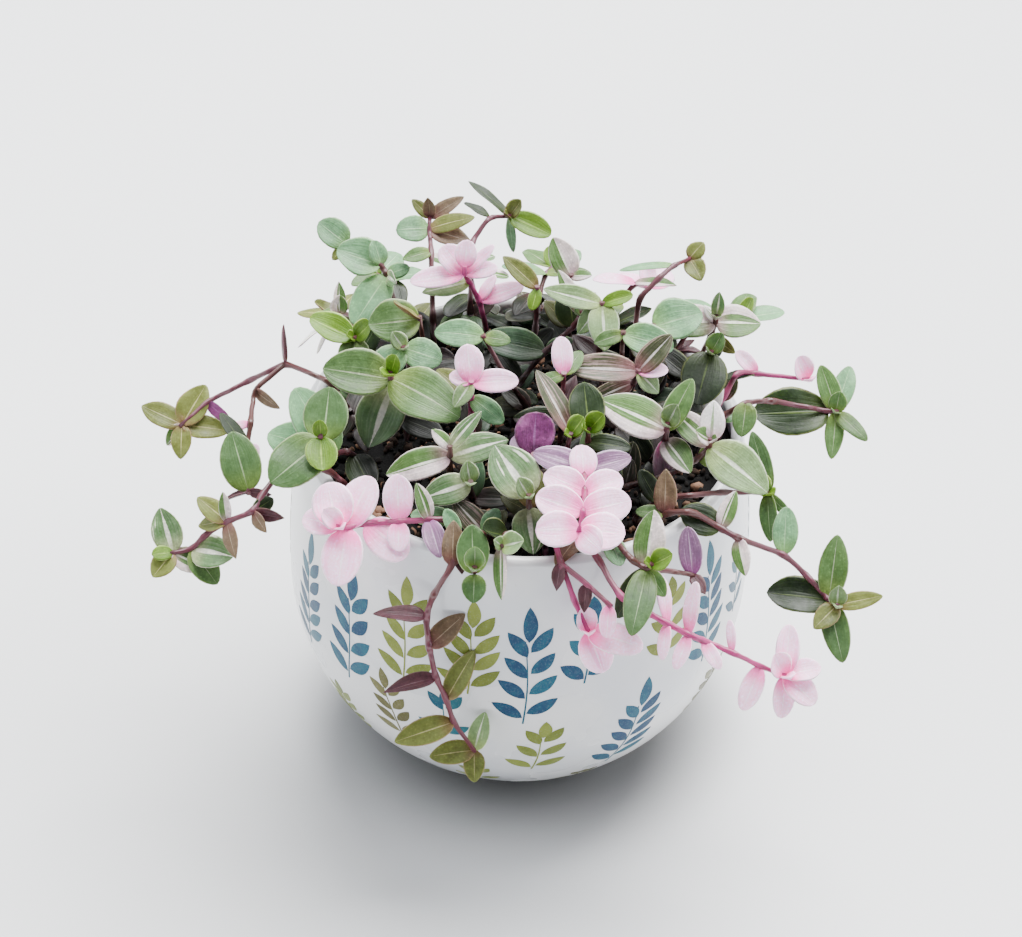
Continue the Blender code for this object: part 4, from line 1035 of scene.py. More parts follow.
def cover(bm, layers, spots, slot):
    """Give what these corners belong to a material and its map, and smooth all but flat ends."""
    faces = list({f for vert in spots for f in vert.link_faces})
    bmesh.ops.recalc_face_normals(bm, faces=faces)
    for f in faces:
        f.smooth = len(f.verts) <= 4
        f.material_index = slot
        for loop in f.loops:
            loop[layers["leaf"]].uv = spots[loop.vert]


def add_leaf(bm, layers, base, lean, leaf, slot, draw):
    """Add one leaf to a mesh that is in millimetres."""
    heading, length, width, kind, rise, roll = leaf
    along, across, face = blade_axes(lean, heading, rise, roll)
    steep = rise > STEEP
    fold = math.radians(draw.uniform(*(YOUNG_FOLD if steep or kind in FOLDED_KINDS else USUAL_FOLD)))
    cup = draw.uniform(*(YOUNG_CUP if steep else USUAL_CUP))
    wave, phase = draw.uniform(0.0, WAVE) * width, draw.uniform(0.0, 6.3)
    twist = math.radians(draw.uniform(-TWIST, TWIST))
    curl = draw.uniform(*(YOUNG_CURL if steep else USUAL_CURL)) * length
    swing = draw.uniform(-SWING, SWING) * length
    tone = draw.random()
    tip_power = TIP_POWERS.get(kind, USUAL_TIP_POWER)
    sides, rings = leaf_sides(length)
    ball = bmesh.ops.create_uvsphere(bm, u_segments=sides, v_segments=rings, radius=1.0)
    spots = {}
    for vert in ball["verts"]:
        x, y, z = vert.co
        ring = math.hypot(x, y)
        t = (1 - z) / 2
        s = x / ring if ring > 0.01 else 0.0
        top = y / ring if ring > 0.01 else 0.0
        half = width / 2 * leaf_share(t, tip_power)
        out = half * s * math.cos(fold)
        lift = half * (abs(s) - HELD_MIDDLE) * math.sin(fold) + half * cup * (s * s - HELD_MIDDLE)
        lift += wave * s * math.sin(t * WAVES_ALONG + phase) - curl * t ** 3
        lift -= RIB_GROOVE * max(0.0, 1 - 3 * abs(s)) * min(1.0, ring * 1.5)
        lift += LEAF_THICKNESS / 2 * top * (1 - THINNER_TIP * t) * min(1.0, ring * 2)
        turn = twist * t
        side = across * math.cos(turn) + face * math.sin(turn)
        outward = face * math.cos(turn) - across * math.sin(turn)
        vert.co = base + along * (length * (t + TIP_POINT * t ** 14))
        vert.co -= face * (length * DROOP * t * t)
        vert.co += side * out + outward * lift + across * (swing * t * t)
        vert[layers["tone"]] = tone
        vert[layers["facing"]] = top
        spots[vert] = ((1 + s) / 2, t)
    cover(bm, layers, spots, slot)


print("a green leaf is", round(leaf_share(0.77, TIP_POWERS["green"]), 2), "as wide near its tip")

# %% [markdown]
# ## A jointed stem
# The stems are thin tubes that bend softly and swell at each joint, where the leaf bases wrap
# round them. A tube could be a curve with a bevel, but its thickness would then have to be given
# point by point, and a leaf can't be put in the same mesh. Here a small disc is laid at the root
# and its face is pulled out again and again along the path, turned to each new direction and
# scaled to the thickness there.

# %% Shaping stems
STEM_SIDES = 8
ROUND_STEM = 0.76
BEND_REACH = 2.6
BEND_SHARE = 0.36
BEND_STEPS = (0.0, 0.35, 0.65, 1.0)
STEP_LENGTH = 3.2
BOW = 0.3
BOW_SCALE = 0.35
JOINT_SWELL = 0.42
JOINT_REACH = 1.4


def bent_path(points, seed):
    """Stations along a path, with its corners rounded and its long stretches a little bowed."""
    stations = [points[0]]
    for before, here, after in zip(points, points[1:], points[2:]):
        reach_in = min(BEND_REACH, (here - before).length * BEND_SHARE)
        reach_out = min(BEND_REACH, (after - here).length * BEND_SHARE)
        start = here + (before - here).normalized() * reach_in
        end = here + (after - here).normalized() * reach_out
        for t in BEND_STEPS:
            stations.append(start * (1 - t) ** 2 + here * (2 * t * (1 - t)) + end * t * t)
    stations.append(points[-1])
    filled = [stations[0]]
    for a, b in zip(stations, stations[1:]):
        count = max(1, math.ceil((b - a).length / STEP_LENGTH))
        for k in range(1, count + 1):
            bow = noise.noise_vector((a.lerp(b, k / count) + Vector((seed, 0, 0))) * BOW_SCALE)
            sag = BOW * math.sin(math.pi * k / count) if k < count else 0.0
            filled.append(a.lerp(b, k / count) + bow * sag)
    return filled


def swelling(point, joints):
    """How much thicker a stem is near a joint."""
    nearest = min((point - joint).length for joint in joints)
    return 1 + JOINT_SWELL * math.exp(-((nearest / JOINT_REACH) ** 2))


def add_stem(bm, layers, points, radius, slot, tone):
    """Add one stem to a mesh that is in millimetres."""
    stations = bent_path(points, tone * 10)
    turned = Vector((0, 0, 1)).rotation_difference(stations[1] - stations[0])
    heading = (stations[1] - stations[0]).normalized()
    matrices = []
    for number, point in enumerate(stations):
        before, after = stations[max(0, number - 1)], stations[min(len(stations) - 1, number + 1)]
        turned = heading.rotation_difference(after - before) @ turned
        heading = (after - before).normalized()
        taper = 1 - (1 - TIP_SHARE) * (number / (len(stations) - 1)) ** 4
        thick = radius * ROUND_STEM * taper * swelling(point, points[2:])
        size = Matrix.Diagonal((thick, thick, thick, 1))
        matrices.append(Matrix.Translation(point) @ turned.to_matrix().to_4x4() @ size)
    disc = bmesh.ops.create_circle(bm, cap_ends=True, radius=1, segments=STEM_SIDES,
                                   matrix=matrices[0])
    end = disc["verts"][0].link_faces[0]
    spots = {vert: ((matrices[0].inverted() @ vert.co).x, 0) for vert in disc["verts"]}
    for number, (old, new) in enumerate(zip(matrices, matrices[1:]), 1):
        pulled = bmesh.ops.extrude_face_region(bm, geom=[end])["geom"]
        ring = [part for part in pulled if isinstance(part, bmesh.types.BMVert)]
        end = next(part for part in pulled if isinstance(part, bmesh.types.BMFace))
        bmesh.ops.transform(bm, matrix=new @ old.inverted(), verts=ring)
        spots.update({vert: ((new.inverted() @ vert.co).x, number) for vert in ring})
    for vert in spots:
        vert[layers["tone"]] = tone
        vert[layers["facing"]] = 1.0
    cover(bm, layers, spots, slot)


print("stems have", STEM_SIDES, "sides")

# %% [markdown]
# ## The vines
# Each vine becomes one mesh, with a stem material and one material for each kind of leaf on it,
# and takes the place of its plain solid. At the end of a vine the next leaves are still small
# and folded round each other, so each tip gets two of them, a cupped one that holds a smaller one,
# unless the table gives it a leaf as small.

# %% Making the vines
VINE_SEED = 5
BUD_LENGTHS = (5.8, 8.0)
BUD_WIDTH = 0.94
BUD_RISE = (36.5, 48)
SMALL_LEAF = 9.2
INNER_SHARE = 0.6
INNER_RISE = 64
STEM_OF_TONE = {"green": "brown", "variegated": "brown", "pink": "magenta", "olive": "brown",
                "purple": "magenta"}
BUD_TURN = 165
BUD_KINDS = {"green": ("pale", "green", "young"), "variegated": ("half", "pale"),
             "pink": ("pink",), "olive": ("olive",), "purple": ()}


def finished(name, bm, materials, replaced=None):
    """A piece made from a mesh in progress, riding on the one body that the plant is."""
    mesh = bpy.data.meshes.new(name)
    bm.to_mesh(mesh)
    bm.free()
    for material in materials:
        mesh.materials.append(material)
    obj = bpy.data.objects.new(name, mesh)
    bpy.context.scene.collection.objects.link(obj)
    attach(obj, "root")
    if replaced:
        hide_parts(replaced)
    return obj


def tip_buds(tip, tone, leaves, draw):
    """A small cupped leaf at a stem's end, and a smaller one inside it."""
    nearby = [leaf for base, leaf in leaves if (base - tip).length < 1]
    if any(leaf[4] > STEEP for leaf in nearby) or not BUD_KINDS[tone]:
        return []
    first = draw.uniform(0, 180)
    kind = draw.choice(BUD_KINDS[tone])
    length = draw.uniform(*BUD_LENGTHS)
    rise = draw.uniform(*BUD_RISE)
    if any(leaf[1] < SMALL_LEAF for leaf in nearby):
        return []
    small = length * INNER_SHARE
    return [(tip, (first, length, length * BUD_WIDTH, kind, rise, 0.0)),
            (tip, (first + BUD_TURN, small, small * BUD_WIDTH, kind, INNER_RISE, 0.0))]


def make_vine(name, tone, runs, leaves, draw):
    """One vine with its stem, its leaves and its buds, as one piece."""
    bm = bmesh.new()
    layers = {"tone": bm.verts.layers.float.new("tone"),
              "facing": bm.verts.layers.float.new("facing"),
              "leaf": bm.loops.layers.uv.new("leaf")}
    stem_tone = draw.random()
    for number, points in enumerate(vine_paths(runs)):
        ended = points[:-1] + [points[-1] + (points[-1] - points[-2]).normalized() * TIP_EXTRA]
        add_stem(bm, layers, ended, BRANCH_RADIUS if number else STEM_RADIUS, 0, stem_tone)
        leaves = leaves + tip_buds(points[-1], tone, leaves, draw)
    kinds = list(dict.fromkeys(leaf[3] for _, leaf in leaves))
    for base, leaf in leaves:
        add_leaf(bm, layers, base, lean_of(name), leaf, 1 + kinds.index(leaf[3]), draw)
    bmesh.ops.scale(bm, vec=(MM, MM, MM), verts=bm.verts)
    materials = [stem_materials[STEM_OF_TONE[tone]]] + [leaf_materials[kind] for kind in kinds]
    return finished("leafy_" + name, bm, materials, "vine_" + name)


draw = random.Random(VINE_SEED)
vines = [make_vine(name, tone, runs, neighbours.leaves[name], draw)
         for name, (tone, runs) in VINES.items()]
print("vines:", len(vines), "with", sum(len(v.data.polygons) for v in vines), "faces")

# %% [markdown]
# ## The glazed pot
# The pot was thrown on a wheel, so it is round about an upright axis. Its outline is worked out
# again with the rule of the solid model, but with many more points, and spun about the axis. The
# wall is as thick as the solid's, with the same rounded rim.

# %% The pot's outline
POT_RADIUS = 70.0
WIDEST_HEIGHT = 60.0
RIM_HEIGHT = 112.0
WALL = 4.0
FLOOR_THICKNESS = 6.0
FOOT_RADIUS = 34.0
FOOT_ROUNDING = 1.5
SHOULDER_DROP = 1.5
SOIL_EDGE = 103.0
SOIL_GAP = 0.3
OUTER_RINGS = 40
RIM_RINGS = 12
INNER_RINGS = 14
POT_TURNS = 144


def bowl_radius(z, inset=0.0):
    """The pot's radius at a height: a ball below its widest ring, a tall ellipse above."""
    rise = z - WIDEST_HEIGHT
    widest = POT_RADIUS - inset
    if rise < 0:
        return math.sqrt(widest ** 2 - rise ** 2)
    reach = (RIM_HEIGHT - WALL / 2 - WIDEST_HEIGHT) / math.sqrt(1 - (RIM_RADIUS / POT_RADIUS) ** 2)
    return widest * math.sqrt(1 - (rise / reach) ** 2)


def steps(low, high, count):
    """Evenly spaced values from low to high."""
    return [low + (high - low) * k / count for k in range(count + 1)]


def pot_outline():
    """Radius and height from the middle of the base, round the rim, to the inner floor."""
    lip = WALL / 2
    lip_height = RIM_HEIGHT - lip
    outside = [(0, 0), (FOOT_RADIUS * 0.5, 0), (FOOT_RADIUS, 0)]
    shoulder = lip_height - SHOULDER_DROP
    outside += [(bowl_radius(z), z) for z in steps(FOOT_ROUNDING, shoulder, OUTER_RINGS)]
    rim = [(RIM_RADIUS - lip + lip * math.cos(a), lip_height + lip * math.sin(a))
           for a in steps(0, math.pi, RIM_RINGS)]
    inside = [(bowl_radius(z, WALL), z) for z in steps(SOIL_EDGE, FLOOR_THICKNESS, INNER_RINGS)]
    return outside + rim + inside + [(0, FLOOR_THICKNESS)]


def spun(name, outline, turns, replaced):
    """Turn an outline about the upright axis into a closed piece."""
    bm = bmesh.new()
    verts = [bm.verts.new((r * MM, 0, z * MM)) for r, z in outline]
    edges = [bm.edges.new(pair) for pair in zip(verts, verts[1:])]
    bmesh.ops.spin(bm, geom=verts + edges, cent=(0, 0, 0), axis=(0, 0, 1), steps=turns,
                   angle=math.tau, use_merge=True)
    bmesh.ops.remove_doubles(bm, verts=bm.verts, dist=0.001 * MM)
    bmesh.ops.recalc_face_normals(bm, faces=bm.faces)
    for f in bm.faces:
        f.smooth = True
    return finished(name, bm, (), replaced)


pot = spun("glazed_pot", pot_outline(), POT_TURNS, "pot")
print("pot:", len(pot.data.polygons), "faces")

# %% [markdown]
# ## The glaze
# White glaze is glossy but never quite even. It is a little bluer where it lies thick, a little
# warmer where the clay shows through, it has the odd pinhole, and its surface ripples so gently
# that only the reflections show it. Low down its colour is darkened as a painted shade under the
# bowl's belly, dust and water leave it a little paler and duller at the rim, and the foot is bare
# clay, because a glazed foot would stick to the kiln shelf.

# %% Glaze material
GLAZE_RIPPLE = 45.0
WORN_RIM = (0.1095, 0.1118)
SHADED_LOW_DOWN = (0.018, 0.004)
BARE_FOOT = (0.0056, 0.0046)
glaze, tree, shader = new_material("white glaze", {"Coat Weight": 0.35, "Coat Roughness": 0.08})
surface = skin_place(tree)
cloud = noise_value(tree, surface, 28.0, 3.0, 0.55)
ripple = noise_value(tree, surface, GLAZE_RIPPLE, 1.0, 0.4)
pinholes = noise_value(tree, surface, 900.0, 1.0, 0.5)
height_up = split(tree, surface)[2]
colour = mix(tree, ramp(tree, cloud, 0.35, 0.65), paint(194, 197, 202), paint(210, 210, 210))
near_rim = ramp(tree, height_up, *WORN_RIM)
colour = mix(tree, times(tree, near_rim, 0.2), colour, paint(230, 226, 218))
colour = mix(tree, ramp(tree, pinholes, 0.76, 0.8, 0.0, 0.3), colour, paint(176, 168, 158))
# painted shade: the glaze's colour darkens towards its bottom, under the bowl's belly
painted_low_shade = ramp(tree, height_up, *SHADED_LOW_DOWN, 0.0, 0.55)
colour = mix(tree, painted_low_shade, colour, paint(190, 184, 176))
bare_foot = ramp(tree, times_plus(tree, cloud, 0.002, height_up), *BARE_FOOT)
colour = mix(tree, bare_foot, colour, paint(122, 112, 100))
wear = times(tree, ramp(tree, cloud, 0.4, 0.62), 0.1)
duller = times_plus(tree, near_rim, 0.15, times(tree, bare_foot, 0.6))
rough = plus(tree, plus(tree, wear, 0.22), duller)
dress(tree, shader, colour, rough, ripple, 0.25, 0.0006)
pot.data.materials.append(glaze)
print("glaze:", len(tree.nodes), "nodes")

# %% [markdown]
# ## The printed leaf sprays
# The decoration is a transfer print under the glaze: upright sprays with paired leaves, some in
# blue, some in teal and some in light or dull green, scattered all round the bowl. Each spray is
# drawn by one rule, from the place of its foot, its height and how far it leans. Its leaves are
# small thin pieces laid on the bowl and a few hundredths of a millimetre proud of it, because a
# print made by shader nodes would need the shape of every spray worked into the nodes.
# The front sprays were placed one by one, and the same kinds go on round the back.

# %% Laying a shape on the bowl
PRINT_THICKNESS = 0.12
PRINT_PROUD = 0.06


def on_bowl(angle, z, lift):
    """A point on the bowl, an angle in degrees to the right of the front, as a vector in mm."""
    a = math.radians(angle)
    r = bowl_radius(z) + lift
    return Vector((r * math.sin(a), -r * math.cos(a), z))


def lay_on_bowl(bm, tone_layer, verts, angle, z, tone):
    """Thicken a flat shape in mm, x to the right and y up, and lay it on the bowl at a place."""
    faces = list({f for vert in verts for f in vert.link_faces})
    bmesh.ops.recalc_face_normals(bm, faces=faces)
    made = bmesh.ops.solidify(bm, geom=faces, thickness=PRINT_THICKNESS)["geom"]
    new_verts = [part for part in made if isinstance(part, bmesh.types.BMVert)]
    both = list({vert for vert in list(verts) + new_verts if vert.is_valid})
    middle = sum(vert.co.z for vert in both) / len(both)
    for vert in both:
        x, y, thick = vert.co
        height = z + y * math.sqrt(1 - ((z - WIDEST_HEIGHT) / POT_RADIUS) ** 2)
        vert.co = on_bowl(angle + math.degrees(x / bowl_radius(height)), height,
                          PRINT_PROUD - PRINT_THICKNESS / 2 + (thick - middle))
        vert[tone_layer] = tone


print("print lies", PRINT_PROUD, "mm proud")

# %% Drawing one spray
LEAF_COLUMNS = 2
LEAF_ROWS = 8
LEAF_BEND = 0.08
LEAF_BLUNTNESS = 0.84
STEM_WIDTH = 0.42
STEM_TONE = 0.2
SPRAY_CURVE = 0.03
LEAF_GAP = 0.5
STEM_SHARE = 0.73
FIRST_PAIR = 0.08
PAIRS_OVER = 0.54
PAIR_SPREAD = (46, 54)
TOP_LEAF_FROM = 0.72
TOP_LEAF_SHARE = 0.28
PRINT_SEED = 23


def print_leaf(bm, tone_layer, foot, heading, length, width, place, tone):
    """One pointed leaf of a spray, its foot and heading given in the flat of the print."""
    bend = width * LEAF_BEND
    grid = bmesh.ops.create_grid(bm, x_segments=LEAF_COLUMNS, y_segments=LEAF_ROWS, size=0.5)
    for vert in grid["verts"]:
        s, t = vert.co.x * 2, vert.co.y + 0.5
        half = width / 2 * max(0.0, math.sin(math.pi * t ** 0.9)) ** LEAF_BLUNTNESS + 0.04
        x = s * half + bend * math.sin(math.pi * t)
        y = t * length
        turn = Vector((math.cos(heading), math.sin(heading)))
        flat = foot + turn * y + Vector((turn.y, -turn.x)) * x
        vert.co = (flat.x, flat.y, 0)
    lay_on_bowl(bm, tone_layer, grid["verts"], *place, tone)


def spray_stem(bm, tone_layer, height, lean, place):
    """The thin stem of a spray, in the flat of the print."""
    grid = bmesh.ops.create_grid(bm, x_segments=1, y_segments=10, size=0.5)
    for vert in grid["verts"]:
        s, t = vert.co.x * 2, vert.co.y + 0.5
        flat = stem_point(height, lean, t)
        vert.co = (flat.x + s * STEM_WIDTH / 2 * (1.3 - 0.6 * t), flat.y, 0)
    lay_on_bowl(bm, tone_layer, grid["verts"], *place, STEM_TONE)


def stem_point(height, lean, t):
    """A place along a spray's stem, which leans and curves a little."""
    sway = height * SPRAY_CURVE * math.sin(math.pi * t)
    return Vector((height * t * math.tan(math.radians(lean)) + sway, height * t))


def draw_spray(meshes, spray, draw):
    """One spray: its stem, its pairs of leaves and the leaf at its top."""
    angle, foot, height, lean, pairs, length, width, colour = spray
    bm, tone_layer = meshes[colour]
    place = (angle, foot)
    spray_stem(bm, tone_layer, height * STEM_SHARE, lean, place)
    for n in range(pairs):
        t = FIRST_PAIR + PAIRS_OVER * n / max(1, pairs - 1)
        size = length * (1.02 - 0.16 * t) * draw.uniform(0.92, 1.06)
        for sign in (-1, 1):
            away = draw.uniform(*PAIR_SPREAD) * (1.14 - 0.66 * t)
            spread = math.radians(90 - lean - sign * away)
            beside = Vector((sign * LEAF_GAP, 0))
            start = stem_point(height, lean, t + 0.02 * sign) + beside
            print_leaf(bm, tone_layer, start, spread, size, width, place, draw.random())
    top = math.radians(90 - lean)
    print_leaf(bm, tone_layer, stem_point(height, lean, TOP_LEAF_FROM), top,
               height * TOP_LEAF_SHARE, width, place, draw.random())


print("a print leaf has", LEAF_COLUMNS * LEAF_ROWS * 2, "faces and its edge")

# %% The sprays
FRONT_SPRAYS = (
    (2, 56, 42, 0, 4, 10.6, 4.1, "blue"),
    (5, 31, 28, 5, 3, 10.2, 3.9, "light"),
    (27, 26, 45, 8, 5, 10.4, 3.9, "blue"),
    (16, 70, 30, 3, 3, 9.0, 4.4, "blue"),
    (51, 58, 43, 2, 5, 9.5, 3.8, "blue"),
    (66, 64, 24, 4, 3, 8.0, 3.2, "teal"),
    (58, 28, 28, 4, 4, 8.5, 3.6, "dull"),
    (-44, 53, 42, 0, 4, 10.4, 4.3, "blue"),
    (-62, 50, 44, 0, 5, 9.5, 3.8, "blue"),
    (-27, 64, 37, -2, 4, 10.2, 3.9, "light"),
    (-11, 66, 33, 0, 4, 10.2, 3.9, "light"),
    (-29, 38, 29, -12, 4, 8.5, 3.2, "dull"),
    (-17, 46, 20, 0, 2, 8.5, 3.4, "teal"),
    (-10, 17, 16, -4, 2, 7.5, 3.2, "light"),
    (-50, 22, 27, -5, 4, 8.5, 3.4, "light"),
    (37, 70, 28, 4, 3, 8.5, 3.6, "light"),
    (20, 12, 14, 6, 2, 7.0, 3.2, "dull"),
)
COLOURS_ROUND = ("blue", "light", "teal", "dull")
BACK_FROM = 84
BACK_STEP = 17
PRINT_GLOSS = {"Coat Weight": 0.04, "Roughness": 0.36, "Specular IOR Level": 0.12,
               "Coat Roughness": 0.1}
PRINT_COLOURS = {
    "blue": (paint(24, 86, 104), paint(12, 52, 84)),
    "teal": (paint(30, 92, 102), paint(14, 62, 88)),
    "light": (paint(120, 130, 56), paint(94, 104, 38)),
    "dull": (paint(104, 102, 62), paint(80, 76, 42)),
}


def round_the_back(draw):
    """Sprays that carry on round the pot, in two staggered rows."""
    sprays = []
    for n in range((360 - 2 * BACK_FROM) // BACK_STEP + 1):
        angle = BACK_FROM + n * BACK_STEP
        high = (angle, draw.uniform(54, 64), draw.uniform(30, 38), draw.uniform(-5, 5), 5,
                draw.uniform(7.5, 9.5), 3.5, COLOURS_ROUND[n % 4])
        low = (angle + BACK_STEP / 2, draw.uniform(22, 32), draw.uniform(20, 26),
               draw.uniform(-6, 6), 3, draw.uniform(6.5, 8), 3.3, COLOURS_ROUND[(n + 2) % 4])
        sprays += [high, low]
    return sprays


def print_material(name, pale, deep):
    """A print colour, washed on unevenly as watercolour is, under the gloss of the glaze."""
    material, tree, shader = new_material("print " + name, PRINT_GLOSS)
    surface = skin_place(tree)
    wash = noise_value(tree, surface, 330.0, 3.0, 0.6)
    grain = noise_value(tree, surface, 1900.0, 1.0, 0.5)
    share = plus(tree, times(tree, carried(tree, "tone"), 0.5), wash)
    colour = mix(tree, ramp(tree, share, 0.42, 1.05), pale, deep)
    colour = mix(tree, ramp(tree, grain, 0.5, 0.8, 0.0, 0.05), colour, paint(220, 224, 224))
    dress(tree, shader, colour)
    return material


draw = random.Random(PRINT_SEED)
print_meshes = {}
for colour in PRINT_COLOURS:
    bm = bmesh.new()
    print_meshes[colour] = (bm, bm.verts.layers.float.new("tone"))
for spray in list(FRONT_SPRAYS) + round_the_back(draw):
    draw_spray(print_meshes, spray, draw)
for colour, (bm, _) in print_meshes.items():
    bmesh.ops.scale(bm, vec=(MM, MM, MM), verts=bm.verts)
    bmesh.ops.recalc_face_normals(bm, faces=bm.faces)
    material = print_material(colour, *PRINT_COLOURS[colour])
    print_piece = finished("print_" + colour, bm, [material])
    print(print_piece.name, len(print_piece.data.polygons), "faces")

# %% [markdown]
# ## The soil
# The potting soil is dark and damp, made of crumbs of every size, with tan bits of bark and a few
# pale grains. Its body is spun like the pot, from a fine outline, and its top is raised and
# lowered by noise, because a bump alone would leave its edge against the wall perfectly round.
# Loose crumbs lie on it by the thousand, so each has only a few faces.

# %% The body of the soil
SOIL_RIPPLE = 0.9
SOIL_GRAIN = 0.22
CROWN_REACH = 62
LEVEL_FROM = 61
LEVEL_WIDTH = 6
SOIL_TURNS = 96
SIDE_RINGS = 10
TOP_RINGS = 34
CRUMB_COUNT = 2600
CRUMB_SIZES = (0.6, 2.3)
CRUMB_SEED = 41
CRUMB_ROOM = 58.0
CRUMB_ROUGHNESS = 0.35


def soil_top(x, y):
    """The height of the soil at a place, in mm."""
    far = math.hypot(x, y)
    crown = SOIL_EDGE + (SOIL_CROWN - SOIL_EDGE) * max(0.0, 1 - (far / CROWN_REACH) ** 1.6)
    rough = noise.fractal(Vector((x, y, 0)) * SOIL_GRAIN, 0.9, 2.0, 4)
    fade = min(1.0, max(0.0, (LEVEL_FROM - far) / LEVEL_WIDTH))
    return crown + SOIL_RIPPLE * rough * fade - 0.4


def soil_outline():
    """Radius and height of the soil's body, from its bottom round to the middle of its top."""
    inset = WALL + SOIL_GAP
    bottom = FLOOR_THICKNESS + SOIL_GAP
    side = [(bowl_radius(z, inset), z) for z in steps(bottom, SOIL_EDGE - 0.5, SIDE_RINGS)]
    edge = side[-1][0]
    top = [(edge * (1 - k / TOP_RINGS), SOIL_EDGE) for k in range(1, TOP_RINGS)]
    return [(0, bottom)] + side + top + [(0, SOIL_EDGE)]


def soil_material(name, dark, middle, tan):
    """Damp crumbs: dark on the whole, with tan bark in spots, and rough."""
    material, tree, shader = new_material(name, {"Roughness": 0.92, "Specular IOR Level": 0.25})
    surface = skin_place(tree)
    tone = carried(tree, "tone")
    grit = noise_value(tree, surface, 420.0, 4.0, 0.65)
    patches = noise_value(tree, surface, 90.0, 2.0, 0.5)
    colour = mix(tree, ramp(tree, plus(tree, grit, tone), 0.55, 1.2), dark, middle)
    colour = mix(tree, ramp(tree, plus(tree, patches, tone), 1.05, 1.35), colour, tan)
    dress(tree, shader, colour, None, grit, 0.8, 0.0008)
    return material


soil = spun("potting_soil", soil_outline(), SOIL_TURNS, "soil")
for vert in soil.data.vertices:
    if vert.co.z > (SOIL_EDGE - 0.1) * MM:
        vert.co.z = soil_top(vert.co.x / MM, vert.co.y / MM) * MM
damp = soil_material("damp soil", paint(3, 2, 2), paint(15, 11, 9), paint(66, 47, 36))
soil.data.materials.append(damp)
print("soil:", len(soil.data.polygons), "faces")

# %% Loose crumbs
draw = random.Random(CRUMB_SEED)
bm = bmesh.new()
tone_layer = bm.verts.layers.float.new("tone")
for _ in range(CRUMB_COUNT):
    far = CRUMB_ROOM * math.sqrt(draw.random())
    a = draw.uniform(0, math.tau)
    x, y = far * math.cos(a), far * math.sin(a)
    size = draw.uniform(*CRUMB_SIZES) * draw.uniform(0.6, 1.0)
    seat = Matrix.Translation((x, y, soil_top(x, y) + size * 0.35))
    spin = Matrix.Rotation(draw.uniform(0, math.tau), 4, Vector((1, draw.random(), 1)).normalized())
    squash = Matrix.Diagonal((size, size * draw.uniform(0.55, 1), size * draw.uniform(0.5, 0.9), 1))
    crumb = bmesh.ops.create_icosphere(bm, subdivisions=1, radius=1, matrix=seat @ spin @ squash)
    tone = draw.random() ** 2
    for vert in crumb["verts"]:
        vert.co += noise.noise_vector(vert.co * 1.7) * size * CRUMB_ROUGHNESS
        vert[tone_layer] = tone
bmesh.ops.scale(bm, vec=(MM, MM, MM), verts=bm.verts)
for f in bm.faces:
    f.smooth = True
loose = soil_material("loose crumbs", paint(5, 4, 3), paint(50, 36, 28), paint(134, 102, 82))
crumbs = finished("soil_crumbs", bm, [loose])
print("crumbs:", CRUMB_COUNT, "with", len(crumbs.data.polygons), "faces")

# %% [markdown]
# ## Floor and light
# The pot stands on a plain pale floor. The light is soft and comes from above and a little behind,
# so the floor is darkest just in front of the pot and even everywhere else. A sun as wide as a
# bright window gives that without growing weaker at the edges of the picture, as a lamp close by
# would. The sky round it is bright at both sides, as between white screens, and dim everywhere
# else, so the pot's sides shine and its foot stands in deep shade.
# Right under the bowl's belly the floor sees hardly anything but the pot. Its colour is darkened
# there too, a painted contact shadow, so the pot sits down on it as firmly as in the photograph,
# and a fainter painted shade darkens it a little in front and at the left, where the photograph
# fades.

# %% Floor
FLOOR_REACH = 4.0
UNDER_BELLY = ((0.005, 0, 0), 0.043, 0.081, 0.31)
FRONT_LEFT = ((-0.065, -0.08, 0), 0.0, 0.28, 0.76)


def floor_shade(middle, near, far, darkest):
    """How much of its colour the floor keeps round a point, where a painted shadow darkens it."""
    away = add_node(tree, "ShaderNodeVectorMath", {0: surface, 1: middle}, operation="DISTANCE")
    return ramp(tree, away.outputs["Value"], near, far, darkest, 1.0)


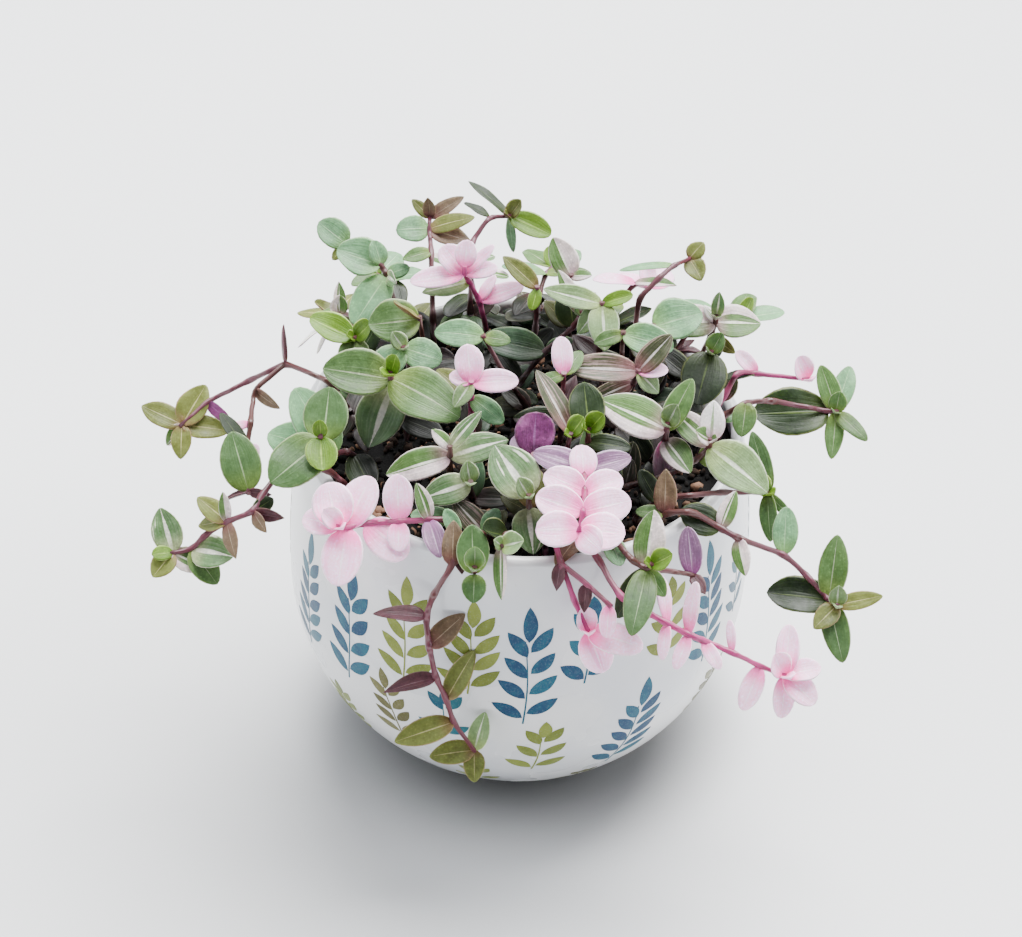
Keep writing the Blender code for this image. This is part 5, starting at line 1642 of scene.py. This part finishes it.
bm = bmesh.new()
bmesh.ops.create_grid(bm, x_segments=1, y_segments=1, size=FLOOR_REACH)
mesh = bpy.data.meshes.new("floor")
bm.to_mesh(mesh)
bm.free()
floor = bpy.data.objects.new("floor", mesh)
bpy.context.scene.collection.objects.link(floor)
pale, tree, shader = new_material("pale floor", {"Roughness": 0.9, "Specular IOR Level": 0.1})
surface = skin_place(tree)
cloud = noise_value(tree, surface, 3.0, 2.0, 0.5)
colour = mix(tree, ramp(tree, cloud, 0.3, 0.7), paint(230, 231, 232), paint(233, 234, 234))
# painted shadows: a deep one under the bowl's belly and a faint one in front and at the left
shade = times(tree, floor_shade(*UNDER_BELLY), floor_shade(*FRONT_LEFT))
dress(tree, shader, darken(tree, colour, shade))
mesh.materials.append(pale)
print("floor:", FLOOR_REACH * 2, "m across")

# %% Sun and sky
SKY_FRONT = 0.08
SKY_SIDES = 8.0
SKY_TOP = 0.7
SKY_BEHIND = 0.5
SIDE_BAND = (0.58, 0.95)
SIDE_ABOVE = (0.04, 0.44)
BEHIND_BAND = (-0.1, 0.7)
TOP_BAND = (0.7, 0.95)
SUN_STRENGTH = 11.4
SUN_WIDTH = math.radians(50)
SUN_FROM = Vector((0.19, 0.54, 1.0))

sky = bpy.data.worlds.new("sky")
sky.use_nodes = True
background = sky.node_tree.nodes["Background"]
background.inputs["Color"].default_value = paint(236, 240, 246)
tree = sky.node_tree
direction = add_node(tree, "ShaderNodeTexCoord").outputs["Generated"]
to_right, to_back, upward = split(tree, direction)
sides = ramp(tree, work_out(tree, "ABSOLUTE", to_right), *SIDE_BAND, 0.0, SKY_SIDES)
behind = ramp(tree, to_back, *BEHIND_BAND, SKY_FRONT, SKY_FRONT + SKY_BEHIND)
sides = times(tree, sides, ramp(tree, upward, *SIDE_ABOVE))
top = ramp(tree, upward, *TOP_BAND, 0.0, SKY_TOP)
strength = plus(tree, plus(tree, sides, behind), top)
tree.links.new(strength, background.inputs["Strength"])
bpy.context.scene.world = sky
sun = bpy.data.objects.new("sun", bpy.data.lights.new("sun", "SUN"))
sun.data.energy = SUN_STRENGTH
sun.data.angle = SUN_WIDTH
sun.rotation_euler = (-SUN_FROM).to_track_quat("-Z", "Y").to_euler()
bpy.context.scene.collection.objects.link(sun)
print("sun", round(math.degrees(SUN_WIDTH)), "degrees wide")
